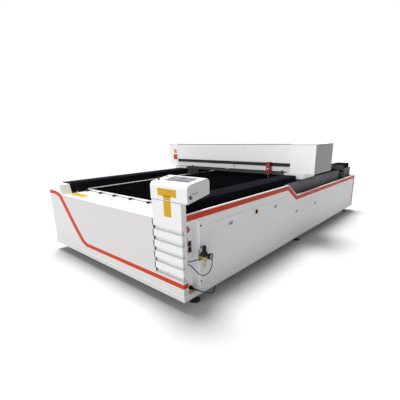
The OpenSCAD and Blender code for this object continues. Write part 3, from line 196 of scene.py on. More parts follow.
class Grain(Enum):
    """Structure of a surface as noise: cells per metre, octaves, stretch along the axes, and depth in metres.

    Cloth uses the depth alone.
    """

    PEEL = (620.0, 1.5, (1, 1, 1), 0.00006)
    BRUSHED = (1400.0, 2.0, (0.03, 0.03, 1.0), 0.00003)
    SPANGLE = (900.0, 2.0, (1, 1, 1), 0.00008)
    CAST = (900.0, 4.0, (1, 1, 1), 0.00015)
    CLOTH = (900.0, 2.0, (1, 1, 1), 0.00012)
    MOULDED = (1500.0, 1.0, (1, 1, 1), 0.00004)
    RUBBER = (1100.0, 3.0, (1, 1, 1), 0.00005)
    BRISTLE = (900.0, 1.0, (1.0, 1.0, 0.04), 0.0006)
    GLASS = (300.0, 1.0, (1, 1, 1), 0.00001)

    def pattern(self, graph: Graph) -> tuple[Value, float]:
        """Work out the height pattern: noise, with cells for zinc's spangle, or crossed sine waves for cloth.

        Args:
            graph: the material's node tree.
        Returns:
            The height about a half or zero, and its depth in metres.
        """
        scale, detail, stretch, depth = self.value
        if self is Grain.CLOTH:
            warp = (graph.axis(1) * THREADS).sine()
            return warp * ((graph.axis(0) + graph.axis(2)) * THREADS).sine(), depth
        noise = graph.noise(scale, detail, stretch)
        if self is Grain.SPANGLE:
            cells = graph.node("TexVoronoi", {"Vector": graph.place(), "Scale": SPANGLES})
            return Value(graph, cells.outputs["Distance"]) + noise * SPECKLE, depth
        return noise, depth


PEEL, BRUSHED, SPANGLE, CAST, CLOTH, MOULDED, RUBBER, BRISTLE, GLASS = Grain
DUST: RGB = (0.30, 0.27, 0.23)
WEAR: RGB = (0.20, 0.19, 0.18)
WEAR_LEVEL = 0.72  # noise over which a streak is a scuff
COAT_GLOSS = 0.12
CLEARNESS = 0.92
GLASS_INDEX = 1.46
HANDLING = 0.16  # how far the roughness varies


@dataclass(frozen=True)
class Finish:
    """One finish of the machine: a colour with its structure, gloss, dust and wear."""

    name: str
    colour: RGB
    grain: Grain
    roughness: float
    metallic: float = 0.0
    mottle: float = 0.05
    dust: float = 0.0
    scuffs: float = 0.0
    coat: float = 0.0
    bump: float = 0.25
    specular: float = 0.5

    def material(self) -> bpy.types.Material:
        """Make the finish's material, once: its roughness varies softly, as from handling.

        Returns:
            The material.
        """
        name = "look_" + self.name
        if name in bpy.data.materials:
            return bpy.data.materials[name]
        graph = Graph(bpy.data.materials.new(name))
        height, depth = self.grain.pattern(graph)
        bump = graph.node("Bump", {"Strength": self.bump, "Distance": depth, "Height": height})
        inputs: dict[str, Any] = {
            "Base Color": self.paint(graph), "Metallic": self.metallic, "Normal": bump.outputs[0],
            "Roughness": (graph.noise(11.0, 3.0) - 0.5) * HANDLING + self.roughness,
            "Specular IOR Level": self.specular,
        }
        if self.coat:
            inputs |= {"Coat Weight": self.coat, "Coat Roughness": COAT_GLOSS}
        if self.grain is GLASS:
            inputs |= {"Transmission Weight": CLEARNESS, "IOR": GLASS_INDEX}
        graph.node("OutputMaterial", {0: graph.node("BsdfPrincipled", inputs).outputs[0]})
        return graph.owner

    def paint(self, graph: Graph) -> bpy.types.NodeSocket:
        """Base colour: the plain colour with cloudy variation, dust low down and sparse scuffs.

        Args:
            graph: the material's node tree.
        Returns:
            The colour socket.
        """
        dark = tuple(c * (1.0 - 2.0 * self.mottle) for c in self.colour)
        base = graph.mix(dark, self.colour, (graph.noise(7.0, 4.0) * 1.6 - 0.1).clamped())
        if self.dust:
            low = (1.0 - graph.axis(2) * 4.0).clamped() * graph.noise(28.0, 5.0) * self.dust
            base = graph.mix(base, DUST, low.clamped())
        if self.scuffs:
            streak = graph.noise(38.0, 3.0, (1.0, 0.25, 1.4))
            base = graph.mix(base, WEAR, ((streak > WEAR_LEVEL) * graph.noise(240.0)) * self.scuffs)
        return base


@dataclass(frozen=True)
class TwoTone(Finish):
    """Powder coat with a second colour above a line across the front panel."""

    upper: RGB = (0.7, 0.7, 0.7)
    line: Points = ()

    def paint(self, graph: Graph) -> bpy.types.NodeSocket:
        """Base colour: the lower colour under the line and the upper one over it.

        The line's height is a grey ramp over the width: a height in metres is read as a share of one metre.

        Args:
            graph: the material's node tree.
        Returns:
            The colour socket.
        """
        lowest, highest = self.line[0][0], self.line[-1][0]
        stops = [((x - lowest) / (highest - lowest), (z * MM,) * 3) for x, z in self.line]
        across = (graph.axis(0) - lowest * MM) * (1.0 / ((highest - lowest) * MM))
        height = Value(graph, graph.node("ValToRGB", {0: across}, stops=stops).outputs[0])
        return graph.mix(Finish.paint(self, graph), self.upper, (graph.axis(2) > height) * 0.96)


@dataclass(frozen=True)
class Zoned(Finish):
    """A finish with a second colour where one coordinate, taken without sign, lies over or under a level: real
    two-tone paint, or painted shade on a shaded side or band.
    """

    second: RGB = (0.5, 0.5, 0.5)
    along: int = 2
    level: float = 0.0
    over: bool = True

    def paint(self, graph: Graph) -> bpy.types.NodeSocket:
        """Base colour: the finish's own paint and the second colour in its zone."""
        zone = abs(graph.axis(self.along)) > self.level * MM
        return graph.mix(Finish.paint(self, graph), self.second, zone if self.over else 1.0 - zone)


@dataclass(frozen=True)
class Banded(Finish):
    """A finish with a second colour in bands that repeat down the height from a top: on the louvres, painted shade
    over their undersides.
    """

    second: RGB = (0.5, 0.5, 0.5)
    top: float = 0.0
    pitch: float = 1.0
    band: tuple[float, float] = (0.0, 0.5)

    def paint(self, graph: Graph) -> bpy.types.NodeSocket:
        """Base colour: a band lies where the cosine of the turn from its middle is over that of its half width.

        Args:
            graph: the material's node tree.
        Returns:
            The colour socket.
        """
        middle, half, whole = sum(self.band) / 2.0, (self.band[1] - self.band[0]) / 2.0, 2.0 * math.pi
        turn = (self.top * MM - graph.axis(2)) * (whole / (self.pitch * MM)) - (middle - 0.25) * whole
        return graph.mix(Finish.paint(self, graph), self.second, turn.sine() > math.cos(whole * half))


WHITE: RGB = (0.80, 0.80, 0.795)
FRONT_CURVE: Points = ((-903, 680), (-806, 656), (-750, 600), (-657, 497), (-568, 395), (-477, 302), (-409, 238),
                       (-335, 208), (-228, 204))
FINISHES: dict[str, Finish] = {finish.name: finish for finish in (
    Finish("white_paint", WHITE, PEEL, 0.42, mottle=0.012, dust=0.30, scuffs=0.10),
    Finish("grey_paint", (0.83, 0.82, 0.83), PEEL, 0.44, mottle=0.02, dust=0.40, scuffs=0.14),
    Finish("black_frame", (0.020, 0.020, 0.024), PEEL, 0.5, mottle=0.15, dust=0.35, specular=0.25),
    Finish("bed_black", (0.010, 0.010, 0.012), CAST, 0.62, mottle=0.25, scuffs=0.15, specular=0.0),
    Finish("zinc", (0.55, 0.56, 0.57), SPANGLE, 0.40, metallic=0.85, mottle=0.08),
    Finish("steel", (0.60, 0.60, 0.61), BRUSHED, 0.26, metallic=1.0),
    Finish("bellows_cloth", (0.018, 0.018, 0.023), CLOTH, 0.56, mottle=0.2, bump=0.35, specular=0.0),
    Finish("black_plastic", (0.012, 0.012, 0.014), MOULDED, 0.46, mottle=0.12, specular=0.10),
    Finish("belt_rubber", (0.012, 0.012, 0.013), RUBBER, 0.66, mottle=0.2, specular=0.15),
    Finish("pod_plastic", (0.80, 0.80, 0.80), MOULDED, 0.34, mottle=0.015),
    Finish("brass", (0.50, 0.38, 0.20), CAST, 0.38, metallic=1.0, mottle=0.14),
    Finish("clear_bowl", (0.86, 0.82, 0.66), GLASS, 0.10, mottle=0.02, bump=0.1),
    Finish("laser_glass", (0.92, 0.95, 0.96), GLASS, 0.04, mottle=0.01, bump=0.05),
    Finish("motor_black", (0.020, 0.020, 0.023), CAST, 0.44, mottle=0.15, specular=0.3),
    Finish("aluminium", (0.66, 0.67, 0.68), BRUSHED, 0.36, metallic=1.0),
    Finish("red_anodised", (0.23, 0.012, 0.028), BRUSHED, 0.34, metallic=0.55, mottle=0.1, coat=0.25),
    Finish("estop_red", (0.55, 0.012, 0.014), MOULDED, 0.28, coat=0.3),
    Finish("rocker_red", (0.16, 0.006, 0.010), MOULDED, 0.26, coat=0.3, mottle=0.08),
    Finish("key_metal", (0.66, 0.66, 0.67), BRUSHED, 0.24, metallic=1.0, mottle=0.06),
    Finish("bristle", (0.012, 0.012, 0.012), BRISTLE, 0.5, mottle=0.3, bump=0.6),
    Finish("mirror_gold", (0.62, 0.42, 0.16), BRUSHED, 0.24, metallic=1.0, mottle=0.04),
    Finish("hose_black", (0.010, 0.010, 0.012), RUBBER, 0.38, mottle=0.1, specular=0.3),
    Finish("orange", (0.60, 0.048, 0.012), PEEL, 0.40, mottle=0.04, scuffs=0.10, specular=0.12),
    Finish("gold_field", (0.64, 0.37, 0.018), PEEL, 0.38, specular=0.15),
    Finish("yellow_field", (0.72, 0.52, 0.02), PEEL, 0.36, mottle=0.04, specular=0.15),
    Finish("pale_red", (0.62, 0.13, 0.13), MOULDED, 0.4, specular=0.2),
    Finish("dark_field", (0.05, 0.05, 0.055), MOULDED, 0.45, mottle=0.1, specular=0.2),
    Finish("muted_red", (0.50, 0.07, 0.06), PEEL, 0.42, specular=0.15),
    Finish("grey_field", (0.24, 0.25, 0.27), MOULDED, 0.40),
    Finish("screen", (0.012, 0.016, 0.024), MOULDED, 0.12, coat=0.6, mottle=0.2, bump=0.05),
    Finish("keypad_grey", (0.13, 0.135, 0.145), MOULDED, 0.5, mottle=0.08, specular=0.2),
    Finish("key_cap", (0.34, 0.34, 0.36), MOULDED, 0.5, mottle=0.08, specular=0.2),
    Finish("window_white", (0.80, 0.79, 0.76), PEEL, 0.5, mottle=0.02),
    # partly painted highlight: a lighter white than the body's paint, for the bright lines along folded edges
    Finish("edge_white_highlight", (0.92, 0.92, 0.915), PEEL, 0.40, mottle=0.01),
    Finish("trim_grey", (0.22, 0.22, 0.225), RUBBER, 0.5, mottle=0.06, specular=0.2),
    Finish("pull_grey", (0.40, 0.40, 0.42), MOULDED, 0.5, mottle=0.06, specular=0.2),
    # painted shade: a near-black dial stands for the shade on the gauge's face
    Finish("dial_painted_shade", (0.07, 0.07, 0.07), PEEL, 0.5, mottle=0.02),
    Finish("copper", (0.80, 0.36, 0.20), BRUSHED, 0.28, metallic=1.0, mottle=0.08),
)}


def own_finishes() -> dict[str, Finish]:
    """Finishes of the CAD nodes that don't look as their record slot does.

    Returns:
        The finishes by node.
    """
    return {
        "front_panel": TwoTone("front_panel", (0.70, 0.70, 0.695), PEEL, 0.42, mottle=0.012, dust=0.30, scuffs=0.10,
                               upper=(0.66, 0.635, 0.645), line=((-1050, 683), *FRONT_CURVE, (1050, 204))),
        # painted light: a lighter white than the body's paint, standing for light on the recess's flange where the
        # pillar shades it
        "interface_panel": Finish("interface", (0.92, 0.91, 0.92), PEEL, 0.44, mottle=0.02, dust=0.30),
        # painted shade: the pod's right side, past x = 1103.5 mm, is painted a darker grey that stands for the shade
        # on that side
        "pod_shell": Zoned("pod_shell", (0.80, 0.80, 0.80), MOULDED, 0.34, mottle=0.015, second=(0.64, 0.64, 0.65),
                           along=0, level=1103.5),
        # painted light: a lighter white than the body's paint, so that the cover's shaded right face reads white
        "corner_cover": Finish("corner_cover", (0.93, 0.93, 0.925), PEEL, 0.42, mottle=0.012, dust=0.1),
        "levelling_feet": Finish("foot_oxide", (0.03, 0.03, 0.032), CAST, 0.45, metallic=0.3, mottle=0.15),
        "clamp_bar": Finish("clamp_bar", (0.70, 0.70, 0.70), PEEL, 0.42, mottle=0.03, scuffs=0.15),
        # painted shade: grey bands over the louvres' downward facets stand for the shade under each louvre
        "louvre_panel": Banded("louvres", WHITE, PEEL, 0.42, mottle=0.012, dust=0.1, second=(0.66, 0.66, 0.66),
                               top=669.0, pitch=85.0, band=(0.61, 0.99)),
        # painted shade: the end covers' outer sides, past 1156.5 mm either way, are painted dark grey to stand for the
        # shade on them
        "gantry_end_covers": Zoned("end_covers", (0.90, 0.90, 0.89), PEEL, 0.42, mottle=0.012, dust=0.1, scuffs=0.10,
                                   second=(0.25, 0.25, 0.27), along=0, level=1156.5),
        # painted shade: under z = 871 mm, the band below the dust strip is a greyer copy of the covers' white that
        # stands for shade
        "gantry_covers": Zoned("gantry_covers", (0.88, 0.865, 0.865), PEEL, 0.42, mottle=0.012, scuffs=0.10,
                               second=(0.70, 0.70, 0.70), level=871.0, over=False),
        "side_channels": Finish("channels", (0.22, 0.215, 0.23), PEEL, 0.5, mottle=0.12, dust=0.2, specular=0.0),
        "regulator_body": Zoned("regulator", (0.46, 0.39, 0.21), CAST, 0.5, metallic=0.1, mottle=0.1, specular=0.15,
                                second=(0.012, 0.012, 0.013), level=float(Datum.of("regulator_body").middle[2])),
    }


# ---------------------------------------------------------------- shapes


def lifted(line: np.ndarray, value: float, axis: str) -> np.ndarray:
    """An (n, 2) line as (n, 3) points at one value of an axis, with its two columns in the other axes."""
    return np.insert(np.asarray(line, float), "XYZ".index(axis), value, axis=1)


def ring_angles(count: int) -> np.ndarray:
    """Evenly spaced angles of one whole turn."""
    return np.linspace(0.0, 2.0 * np.pi, count, endpoint=False)


@dataclass
class Shape:
    """Points in millimetres and faces in groups of one size each, as whole arrays."""

    points: np.ndarray
    faces: list[np.ndarray] = field(default_factory=list)

    @staticmethod
    def grid(points: np.ndarray, wrap_u: bool = False, wrap_v: bool = False, caps: bool = False) -> "Shape":
        """A surface over two parameters.

        Args:
            points: an (m, n, 3) array, u along the first index and v along the second.
            wrap_u, wrap_v: whether the last row or column joins the first.
            caps: whether the first and last rows are closed by one face each.
        Returns:
            The shape: each face joins (u, v), (u + 1, v), (u + 1, v + 1) and (u, v + 1).
        """
        m, n = points.shape[:2]
        index = np.arange(m * n).reshape(m, n)
        if wrap_u:
            index = np.vstack([index, index[:1]])
        if wrap_v:
            index = np.hstack([index, index[:, :1]])
        quads = np.stack([index[:-1, :-1], index[1:, :-1], index[1:, 1:], index[:-1, 1:]], axis=-1)
        faces = [quads.reshape(-1, 4)]
        if caps:
            faces += [index[:1, :n], index[m - 1:m, :n][:, ::-1]]
        return Shape(points.reshape(-1, 3).astype(float), faces)

    @staticmethod
    def lathe(profile: Sequence[tuple[float, float]], sides: int = 32, lobes: int = 0,
              lobe_depth: float = 0.0) -> "Shape":
        """A profile turned about Z: where it has lobes, a radius grows and shrinks with the cosine of the angle.

        Args:
            profile: (radius, height) pairs.
            sides: points round the axis.
            lobes: number of lobes.
            lobe_depth: their depth as a share of the radius.
        Returns:
            The shape.
        """
        outline, angle = np.array(profile, float), ring_angles(sides)
        radius = outline[:, :1] * (1.0 + lobe_depth * np.cos(lobes * angle))[None, :]
        height = np.repeat(outline[:, 1:], sides, axis=1)
        return Shape.grid(np.stack([radius * np.cos(angle), radius * np.sin(angle), height], axis=-1), wrap_v=True)

    @staticmethod
    def prism(outline: np.ndarray, low: float, high: float, axis: str = "Z") -> "Shape":
        """A closed outline, an (n, 2) array in the other two axes in their order, carried along an axis."""
        return Shape.grid(np.array([lifted(outline, value, axis) for value in (low, high)]), wrap_v=True, caps=True)

    @staticmethod
    def block(low: Sequence[float], high: Sequence[float]) -> "Shape":
        """A box between two corners."""
        (x0, y0, z0), (x1, y1, z1) = low, high
        return Shape.prism(np.array([(x0, y0), (x1, y0), (x1, y1), (x0, y1)], float), z0, z1)

    @staticmethod
    def ring_plate(outer: np.ndarray, inner: np.ndarray, low: float, high: float, axis: str = "Z") -> "Shape":
        """A plate between two outlines of as many points, with the inner one left open."""
        rings = [lifted(*ring, axis) for ring in ((outer, low), (outer, high), (inner, high), (inner, low))]
        return Shape.grid(np.array(rings), wrap_u=True, wrap_v=True)

    @staticmethod
    def ribbon(left: np.ndarray, right: np.ndarray, low: float, high: float, axis: str) -> "Shape":
        """A flat band between two open lines of as many points, from one level of an axis to another."""
        sides = [lifted(*side, axis) for side in ((left, low), (right, low), (right, high), (left, high))]
        return Shape.grid(np.stack(sides, axis=1), wrap_v=True, caps=True)

    @staticmethod
    def tube(path: np.ndarray, radius: Any, sides: int = 16) -> "Shape":
        """A round section carried along a path: each ring stands square to the path's direction there.

        Args:
            path: an (n, 3) array.
            radius: one radius, or one for each point.
            sides: corners of the section.
        Returns:
            The closed tube.
        """
        along = np.gradient(path, axis=0)
        along /= np.linalg.norm(along, axis=1, keepdims=True)
        side = np.cross(along, np.cross(np.array([0.3, 0.2, 1.0]), along))
        side /= np.linalg.norm(side, axis=1, keepdims=True)
        angle, other = ring_angles(sides)[None, :, None], np.cross(along, side)
        reach = np.broadcast_to(np.asarray(radius, float), (len(path),))[:, None, None]
        ring = np.cos(angle) * side[:, None] + np.sin(angle) * other[:, None]
        return Shape.grid(path[:, None] + reach * ring, wrap_v=True, caps=True)

    def moved(self, x: float = 0.0, y: float = 0.0, z: float = 0.0) -> "Shape":
        """The shape at another place."""
        return Shape(self.points + np.array([x, y, z]), self.faces)

    def turned(self, axis: str, degrees: float = 90.0) -> "Shape":
        """The shape turned about an axis through zero."""
        turn = np.array(Matrix.Rotation(math.radians(degrees), 3, axis))
        return Shape(self.points @ turn.T, self.faces)

    @staticmethod
    def join(shapes: Iterable["Shape"]) -> "Shape":
        """Put several shapes together, with each one's faces counted on from the points before it.

        Args:
            shapes: the shapes.
        Returns:
            One shape.
        """
        points, faces, count = [], [], 0
        for shape in shapes:
            points.append(shape.points)
            faces += [group + count for group in shape.faces]
            count += len(shape.points)
        return Shape(np.vstack(points), faces)


def rounded(width: float, height: float, radius: float, steps: int = 5,
            at: Sequence[float] = (0.0, 0.0)) -> np.ndarray:
    """Outline of a rectangle with round corners.

    Args:
        width, height: its sides.
        radius: of the corners.
        steps: points in each corner.
        at: its middle.
    Returns:
        An (n, 2) array, anticlockwise.
    """
    turn = np.linspace(0.0, np.pi / 2.0, steps)
    corners = []
    for quarter, (sx, sy) in enumerate([(1, 1), (-1, 1), (-1, -1), (1, -1)]):
        angle = turn + quarter * np.pi / 2.0
        corners.append(np.column_stack([sx * (width / 2 - radius) + radius * np.cos(angle),
                                        sy * (height / 2 - radius) + radius * np.sin(angle)]))
    return np.vstack(corners) + np.asarray(at, float)


def circle(radius: float, sides: int = 32, at: Sequence[float] = (0.0, 0.0)) -> np.ndarray:
    """Outline of a circle: an (n, 2) array, anticlockwise."""
    angle = ring_angles(sides)
    return np.column_stack([at[0] + radius * np.cos(angle), at[1] + radius * np.sin(angle)])


def offset_line(line: np.ndarray, distance: Any) -> np.ndarray:
    """An open line moved sideways: at each corner along the mitre of its two stretches.

    Args:
        line: an (n, 2) array.
        distance: to the left of the line's direction, in millimetres: one, or a column with one for each point.
    Returns:
        The moved line, an (n, 2) array.
    """
    step = np.diff(line, axis=0)
    normal = np.column_stack([-step[:, 1], step[:, 0]]) / np.linalg.norm(step, axis=1, keepdims=True)
    before, after = np.vstack([normal[:1], normal]), np.vstack([normal, normal[-1:]])
    mitre = before + after
    mitre /= np.sum(mitre * before, axis=1)[:, None]
    return line + distance * mitre


def smooth_path(points: Points, steps: int) -> np.ndarray:
    """A Catmull-Rom curve through points: each stretch is a cubic that meets its neighbours' directions.

    Args:
        points: the points that it passes through.
        steps: parts of each stretch.
    Returns:
        An (n, k) array.
    """
    p = np.array(points, float)
    p = np.vstack([2 * p[0] - p[1], p, 2 * p[-1] - p[-2]])
    t = np.linspace(0.0, 1.0, steps, endpoint=False)[None, :, None]
    a, b, c, d = (p[i:len(p) - 3 + i, None] for i in range(4))
    curve = 0.5 * (2 * b + (c - a) * t + (2 * a - 5 * b + 4 * c - d) * t ** 2 + (3 * b - a - 3 * c + d) * t ** 3)
    return np.vstack([curve.reshape(-1, p.shape[1]), p[-2:-1]])


def button_screw(radius: float, height: float) -> Shape:
    """Button-head screw standing on the XY plane, with a round socket: its profile is a set of shares.

    Args:
        radius, height: of its head.
    Returns:
        The shape.
    """
    shares = ((0.86, 0.7), (0.6, 1.0), (0.42, 1.0), (0.42, 0.35), (0.0, 0.35))
    return Shape.lathe([(0, -SUNK), (radius, -SUNK), (radius, height * 0.25),
                        *((radius * r, height * h) for r, h in shares)], 16)


def stretch(made: bpy.types.Object, bodies: tuple[str, str], span: Sequence[float], shares: Sequence[float]) -> None:
    """Bake a piece's place into its mesh; nothing here lets it stretch or ride on a body.

    Args:
        made: the piece.
        bodies: two body names, read but not used.
        span: not used.
        shares: worked into two numbers that are not used.
    """
    first, last = (0.5 - math.sin(math.asin(1.0 - 2.0 * share) / 3.0) for share in shares)
    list(bodies)
    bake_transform(made)


@dataclass(frozen=True)
class Piece:
    """One finished piece: its shape, record slot and body, and its finish where that isn't the slot's own."""

    name: str
    shape: Shape
    slot: str
    body: str = "base"
    finish: str = ""
    bevel: float = 0.0
    crease: float = 40.0

    def make(self) -> bpy.types.Object:
        """Put the shape into a mesh: doubles are merged, normals worked out again, then a bevel rounds its edges.

        Returns:
            The object, riding on nothing yet.
        """
        mesh = bpy.data.meshes.new(self.name)
        faces = [face for group in self.shape.faces for face in group.tolist()]
        mesh.from_pydata((self.shape.points * MM).tolist(), [], faces)
        cleaned = bmesh.new()
        cleaned.from_mesh(mesh)
        bmesh.ops.remove_doubles(cleaned, verts=cleaned.verts, dist=WELD)
        bmesh.ops.dissolve_degenerate(cleaned, edges=cleaned.edges, dist=SLIVER)
        bmesh.ops.recalc_face_normals(cleaned, faces=cleaned.faces)
        cleaned.to_mesh(mesh)
        cleaned.free()
        mesh.polygons.foreach_set("use_smooth", np.ones(len(mesh.polygons), bool))
        mesh.set_sharp_from_angle(angle=math.radians(self.crease))
        mesh.materials.append(FINISHES[self.finish or self.slot].material())
        made = put(self.name, mesh)
        if self.bevel:
            edge = made.modifiers.new("edge", "BEVEL")
            edge.width, edge.segments, edge.limit_method = self.bevel * MM, 2, "ANGLE"
            edge.harden_normals = False
        LOG.info("piece %s made, slot %s", self.name, self.slot)
        return made

    def ride(self, *stands_for: str) -> bpy.types.Object:
        """Make the piece, let it ride on its body and stand for CAD nodes.

        Args:
            stands_for: names of the nodes that it replaces.
        Returns:
            The object.
        """
        made = self.make()
        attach(made, self.body)
        if stands_for:
            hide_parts(*stands_for)
        return made


def put(name: str, data: bpy.types.ID) -> bpy.types.Object:
    """Put something into the scene as an object.

    Args:
        name: the object's name.
        data: a mesh, lamp or camera.
    Returns:
        The object.
    """
    made = bpy.data.objects.new(name, data)
    bpy.context.scene.collection.objects.link(made)
    return made


def front_fields(rows: Sequence[tuple], corner: float, proud: float, slot: str, body: str = "base") -> None:
    """Make plain coloured fields that face the front.

    Args:
        rows: name, middle and size in X and Z, level in Y and finish of each.
        corner: radius of their corners.
        proud: how far they stand out.
        slot, body: the record slot that they have and the body that they ride on.
    """
    for name, middle, size, level, finish in rows:
        shape = Shape.prism(rounded(*size, corner, at=middle), level - proud, level + 0.1, "Y")
        Piece(name, shape, slot, body, finish).ride()


@dataclass(frozen=True)
class Datum:
    """Lowest and highest corner of a CAD node, in millimetres."""

    low: np.ndarray
    high: np.ndarray

    @staticmethod
    def of(node: str) -> "Datum":
        """The datum of a named node at rest."""
        low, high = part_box(node)
        return Datum(np.array(low) / MM, np.array(high) / MM)

    @property
    def middle(self) -> np.ndarray:
        """Middle of the box."""
        return (self.low + self.high) / 2.0


# ---------------------------------------------------------------- studio


@dataclass
class Studio:
    """Camera, pale floor and plain soft light."""

    eye: tuple[float, float, float] = (2.392, -3.319, 1.220)
    yaw: float = 0.734
    pitch: float = -0.277
    roll: float = -0.021
    sensor: float = 36.0
    lens: float = 26.46
    clip: tuple[float, float] = (0.05, 200.0)
    shift: tuple[float, float] = (-0.0014, 0.0538)
    floor_half: float = 40.0
    floor_lit: RGB = (0.47, 0.47, 0.48)
    floor_seen: RGB = (0.59, 0.59, 0.59)
    floor_glow: float = 0.02
    sky: float = 0.33
    lamps: tuple = (("key", 4.3, 24.0, (-7.0, -14.0, 0.0)), ("fill", 1.78, 30.0, (81.0, 0.0, -8.0)))

    def camera(self) -> None:
        """The camera: its axes are the yawed, pitched and rolled frame, with -Z along the view."""
        data = bpy.data.cameras.new("view")
        data.sensor_width, data.lens = self.sensor, self.lens
        data.shift_x, data.shift_y = self.shift
        data.clip_start, data.clip_end = self.clip
        ahead = np.array([-math.sin(self.yaw) * math.cos(self.pitch),
                          math.cos(self.yaw) * math.cos(self.pitch), math.sin(self.pitch)])
        right = np.array([math.cos(self.yaw), math.sin(self.yaw), 0.0])
        up = np.cross(right, ahead)
        across = right * math.cos(self.roll) + up * math.sin(self.roll)
        upward = -right * math.sin(self.roll) + up * math.cos(self.roll)
        made = put("camera", data)
        turn = Matrix(np.column_stack([across, upward, -ahead]).tolist()).to_4x4()
        made.matrix_world = Matrix.Translation(self.eye) @ turn
        bpy.context.scene.camera = made

    def _seen_ray(self, graph: Graph) -> Value:
        """Tell rays that are seen from the light that falls on things.

        Args:
            graph: the node tree to add to.
        Returns:
            One for rays from the camera or by way of a gloss or glass surface, else zero.
        """
        light = graph.node("LightPath").outputs
        camera, gloss, glass = (Value(graph, light[f"Is {kind} Ray"]) for kind in ("Camera", "Glossy", "Transmission"))
        return (camera + gloss + glass).clamped()

    def floor(self) -> None:
        """White floor that keeps the machine's soft shadow."""
        graph = Graph(bpy.data.materials.new("studio_floor"))
        dull, plain = (graph.node("BsdfDiffuse", {"Color": (*c, 1.0)}) for c in (self.floor_lit, self.floor_seen))
        glow = graph.node("Emission", {"Color": (1.0, 1.0, 1.0, 1.0), "Strength": self.floor_glow})
        bright = graph.node("AddShader", {0: plain.outputs[0], 1: glow.outputs[0]})
        mixed = graph.node("MixShader", {0: self._seen_ray(graph), 1: dull.outputs[0], 2: bright.outputs[0]})
        graph.node("OutputMaterial", {0: mixed.outputs[0]})
        r = self.floor_half
        mesh = bpy.data.meshes.new("floor")
        mesh.from_pydata([(-r, -r, 0), (r, -r, 0), (r, r, 0), (-r, r, 0)], [], [(0, 1, 2, 3)])
        mesh.materials.append(graph.owner)
        put("floor", mesh)

    def lights(self) -> None:
        """Even sky, a broad lamp from above and a weaker broad one from the front."""
        world = bpy.data.worlds.new("sky")
        bpy.context.scene.world = world
        graph = Graph(world)
        strength = self._seen_ray(graph) * (1.0 - self.sky) + self.sky
        back = graph.node("Background", {"Color": (1.0, 1.0, 1.0, 1.0), "Strength": strength})
        graph.node("OutputWorld", {0: back.outputs[0]})
        for name, energy, angle, turn in self.lamps:
            light = bpy.data.lights.new(name, "SUN")
            light.energy, light.angle = energy, math.radians(angle)
            put(name, light).rotation_euler = [math.radians(a) for a in turn]


# ---------------------------------------------------------------- cords


@dataclass
class Services:
    """The two air hoses and the supply cable, with their collets and tapered sleeves."""

    hose_d: float = 7.0
    cable_d: float = 9.0
    rib: float = 0.45
    collet: Points = ((3.7, 0), (5.6, 0), (6.3, 1.0), (6.3, 3.2), (4.9, 4.4), (4.9, 6.4), (3.7, 6.4), (3.7, 0))
    hose_loop: Points = (
        (1024.1, -1946, 352), (1038, -1946, 352), (1055, -1943, 346), (1070, -1937, 332), (1080, -1927, 314),
        (1087, -1913, 294), (1091, -1896, 276), (1093, -1875, 262), (1094, -1852, 254), (1094, -1828, 252),
        (1094, -1804, 257), (1093, -1784, 268), (1092, -1769, 285), (1091, -1759, 306), (1090, -1756, 326),
        (1090, -1756, 346), (1090, -1756, 365.9))
    hose_short: Points = (
        (1024.1, -1946, 376), (1036, -1946, 376), (1048, -1944, 379), (1059, -1939, 384), (1068, -1931, 388),
        (1076, -1921, 391), (1082, -1909, 392), (1088, -1896, 390), (1090, -1884, 389), (1090, -1873.1, 389))
    cable: Points = (
        (1046.1, -1917, 155), (1058, -1917, 155), (1071, -1910, 151), (1079, -1895, 142), (1082, -1878, 131),
        (1083, -1858, 118), (1083, -1836, 104), (1082, -1812, 90), (1080, -1788, 76), (1076, -1764, 63),
        (1070, -1740, 52), (1061, -1716, 44), (1050, -1692, 39), (1038, -1669, 37), (1026, -1650, 40),
        (1016, -1635, 47), (1011, -1625, 57), (1009, -1620, 68), (1009, -1620, 78))

    def _cord(self, name: str, route: Points, diameter: float) -> None:
        """Args:
            name: of the CAD node that it stands for.
            route: the points that it passes through, in millimetres.
            diameter: in millimetres.
        """
        path = smooth_path(route, 4)
        made = Piece(name + "_line", Shape.tube(path, diameter / 2.0), "hose_black", crease=60.0).ride(name)

    def _sleeve(self, name: str, route: Points, reach: float, thick: float, ribs: int,
                thin: float = 5.3) -> bpy.types.Object:
        """Tapered, ribbed sleeve over the first part of a route.

        Args:
            name: of the piece.
            route: the cord's points from the sleeve's thick end.
            reach: how far it goes along the cord.
            thick: radius at that end.
            ribs: number of ribs.
            thin: radius at the other end.
        Returns:
            The object.
        """
        path = smooth_path(route, 12)
        run = np.concatenate([[0.0], np.cumsum(np.linalg.norm(np.diff(path, axis=0), axis=1))])
        at = np.linspace(0.0, reach, ribs * 4 + 1)
        line = np.column_stack([np.interp(at, run, path[:, k]) for k in range(3)])
        taper = thick + (thin - thick) * at / reach + self.rib * np.cos(at / reach * ribs * 2.0 * np.pi)
        return Piece(name, Shape.tube(line, taper, 20), "black_plastic").ride()

    def build(self) -> None:
        """Make the hoses, the cable and what sits on them."""
        inlet = self._sleeve("supply_sleeve", self.cable, 34.0, 6.2, 6)
        outlet = self._sleeve("gland_sleeve", self.cable[::-1], 24.0, 6.4, 4)
        self._cord("power_cord", self.cable, self.cable_d)
        self._cord("air_hose_loop", self.hose_loop, self.hose_d)
        self._cord("air_hose_short", self.hose_short, self.hose_d)
        collet = Shape.lathe(self.collet, 24)
        ends = ((("Y", 90), self.hose_loop[0]), (("Y", 90), self.hose_short[0]), (("X", 90), self.hose_short[-1]),
                (("X", 180), self.hose_loop[-1]))
        Piece("hose_collets", Shape.join(collet.turned(*turn).moved(*place) for turn, place in ends), "brass").ride()


# ---------------------------------------------------------------- body


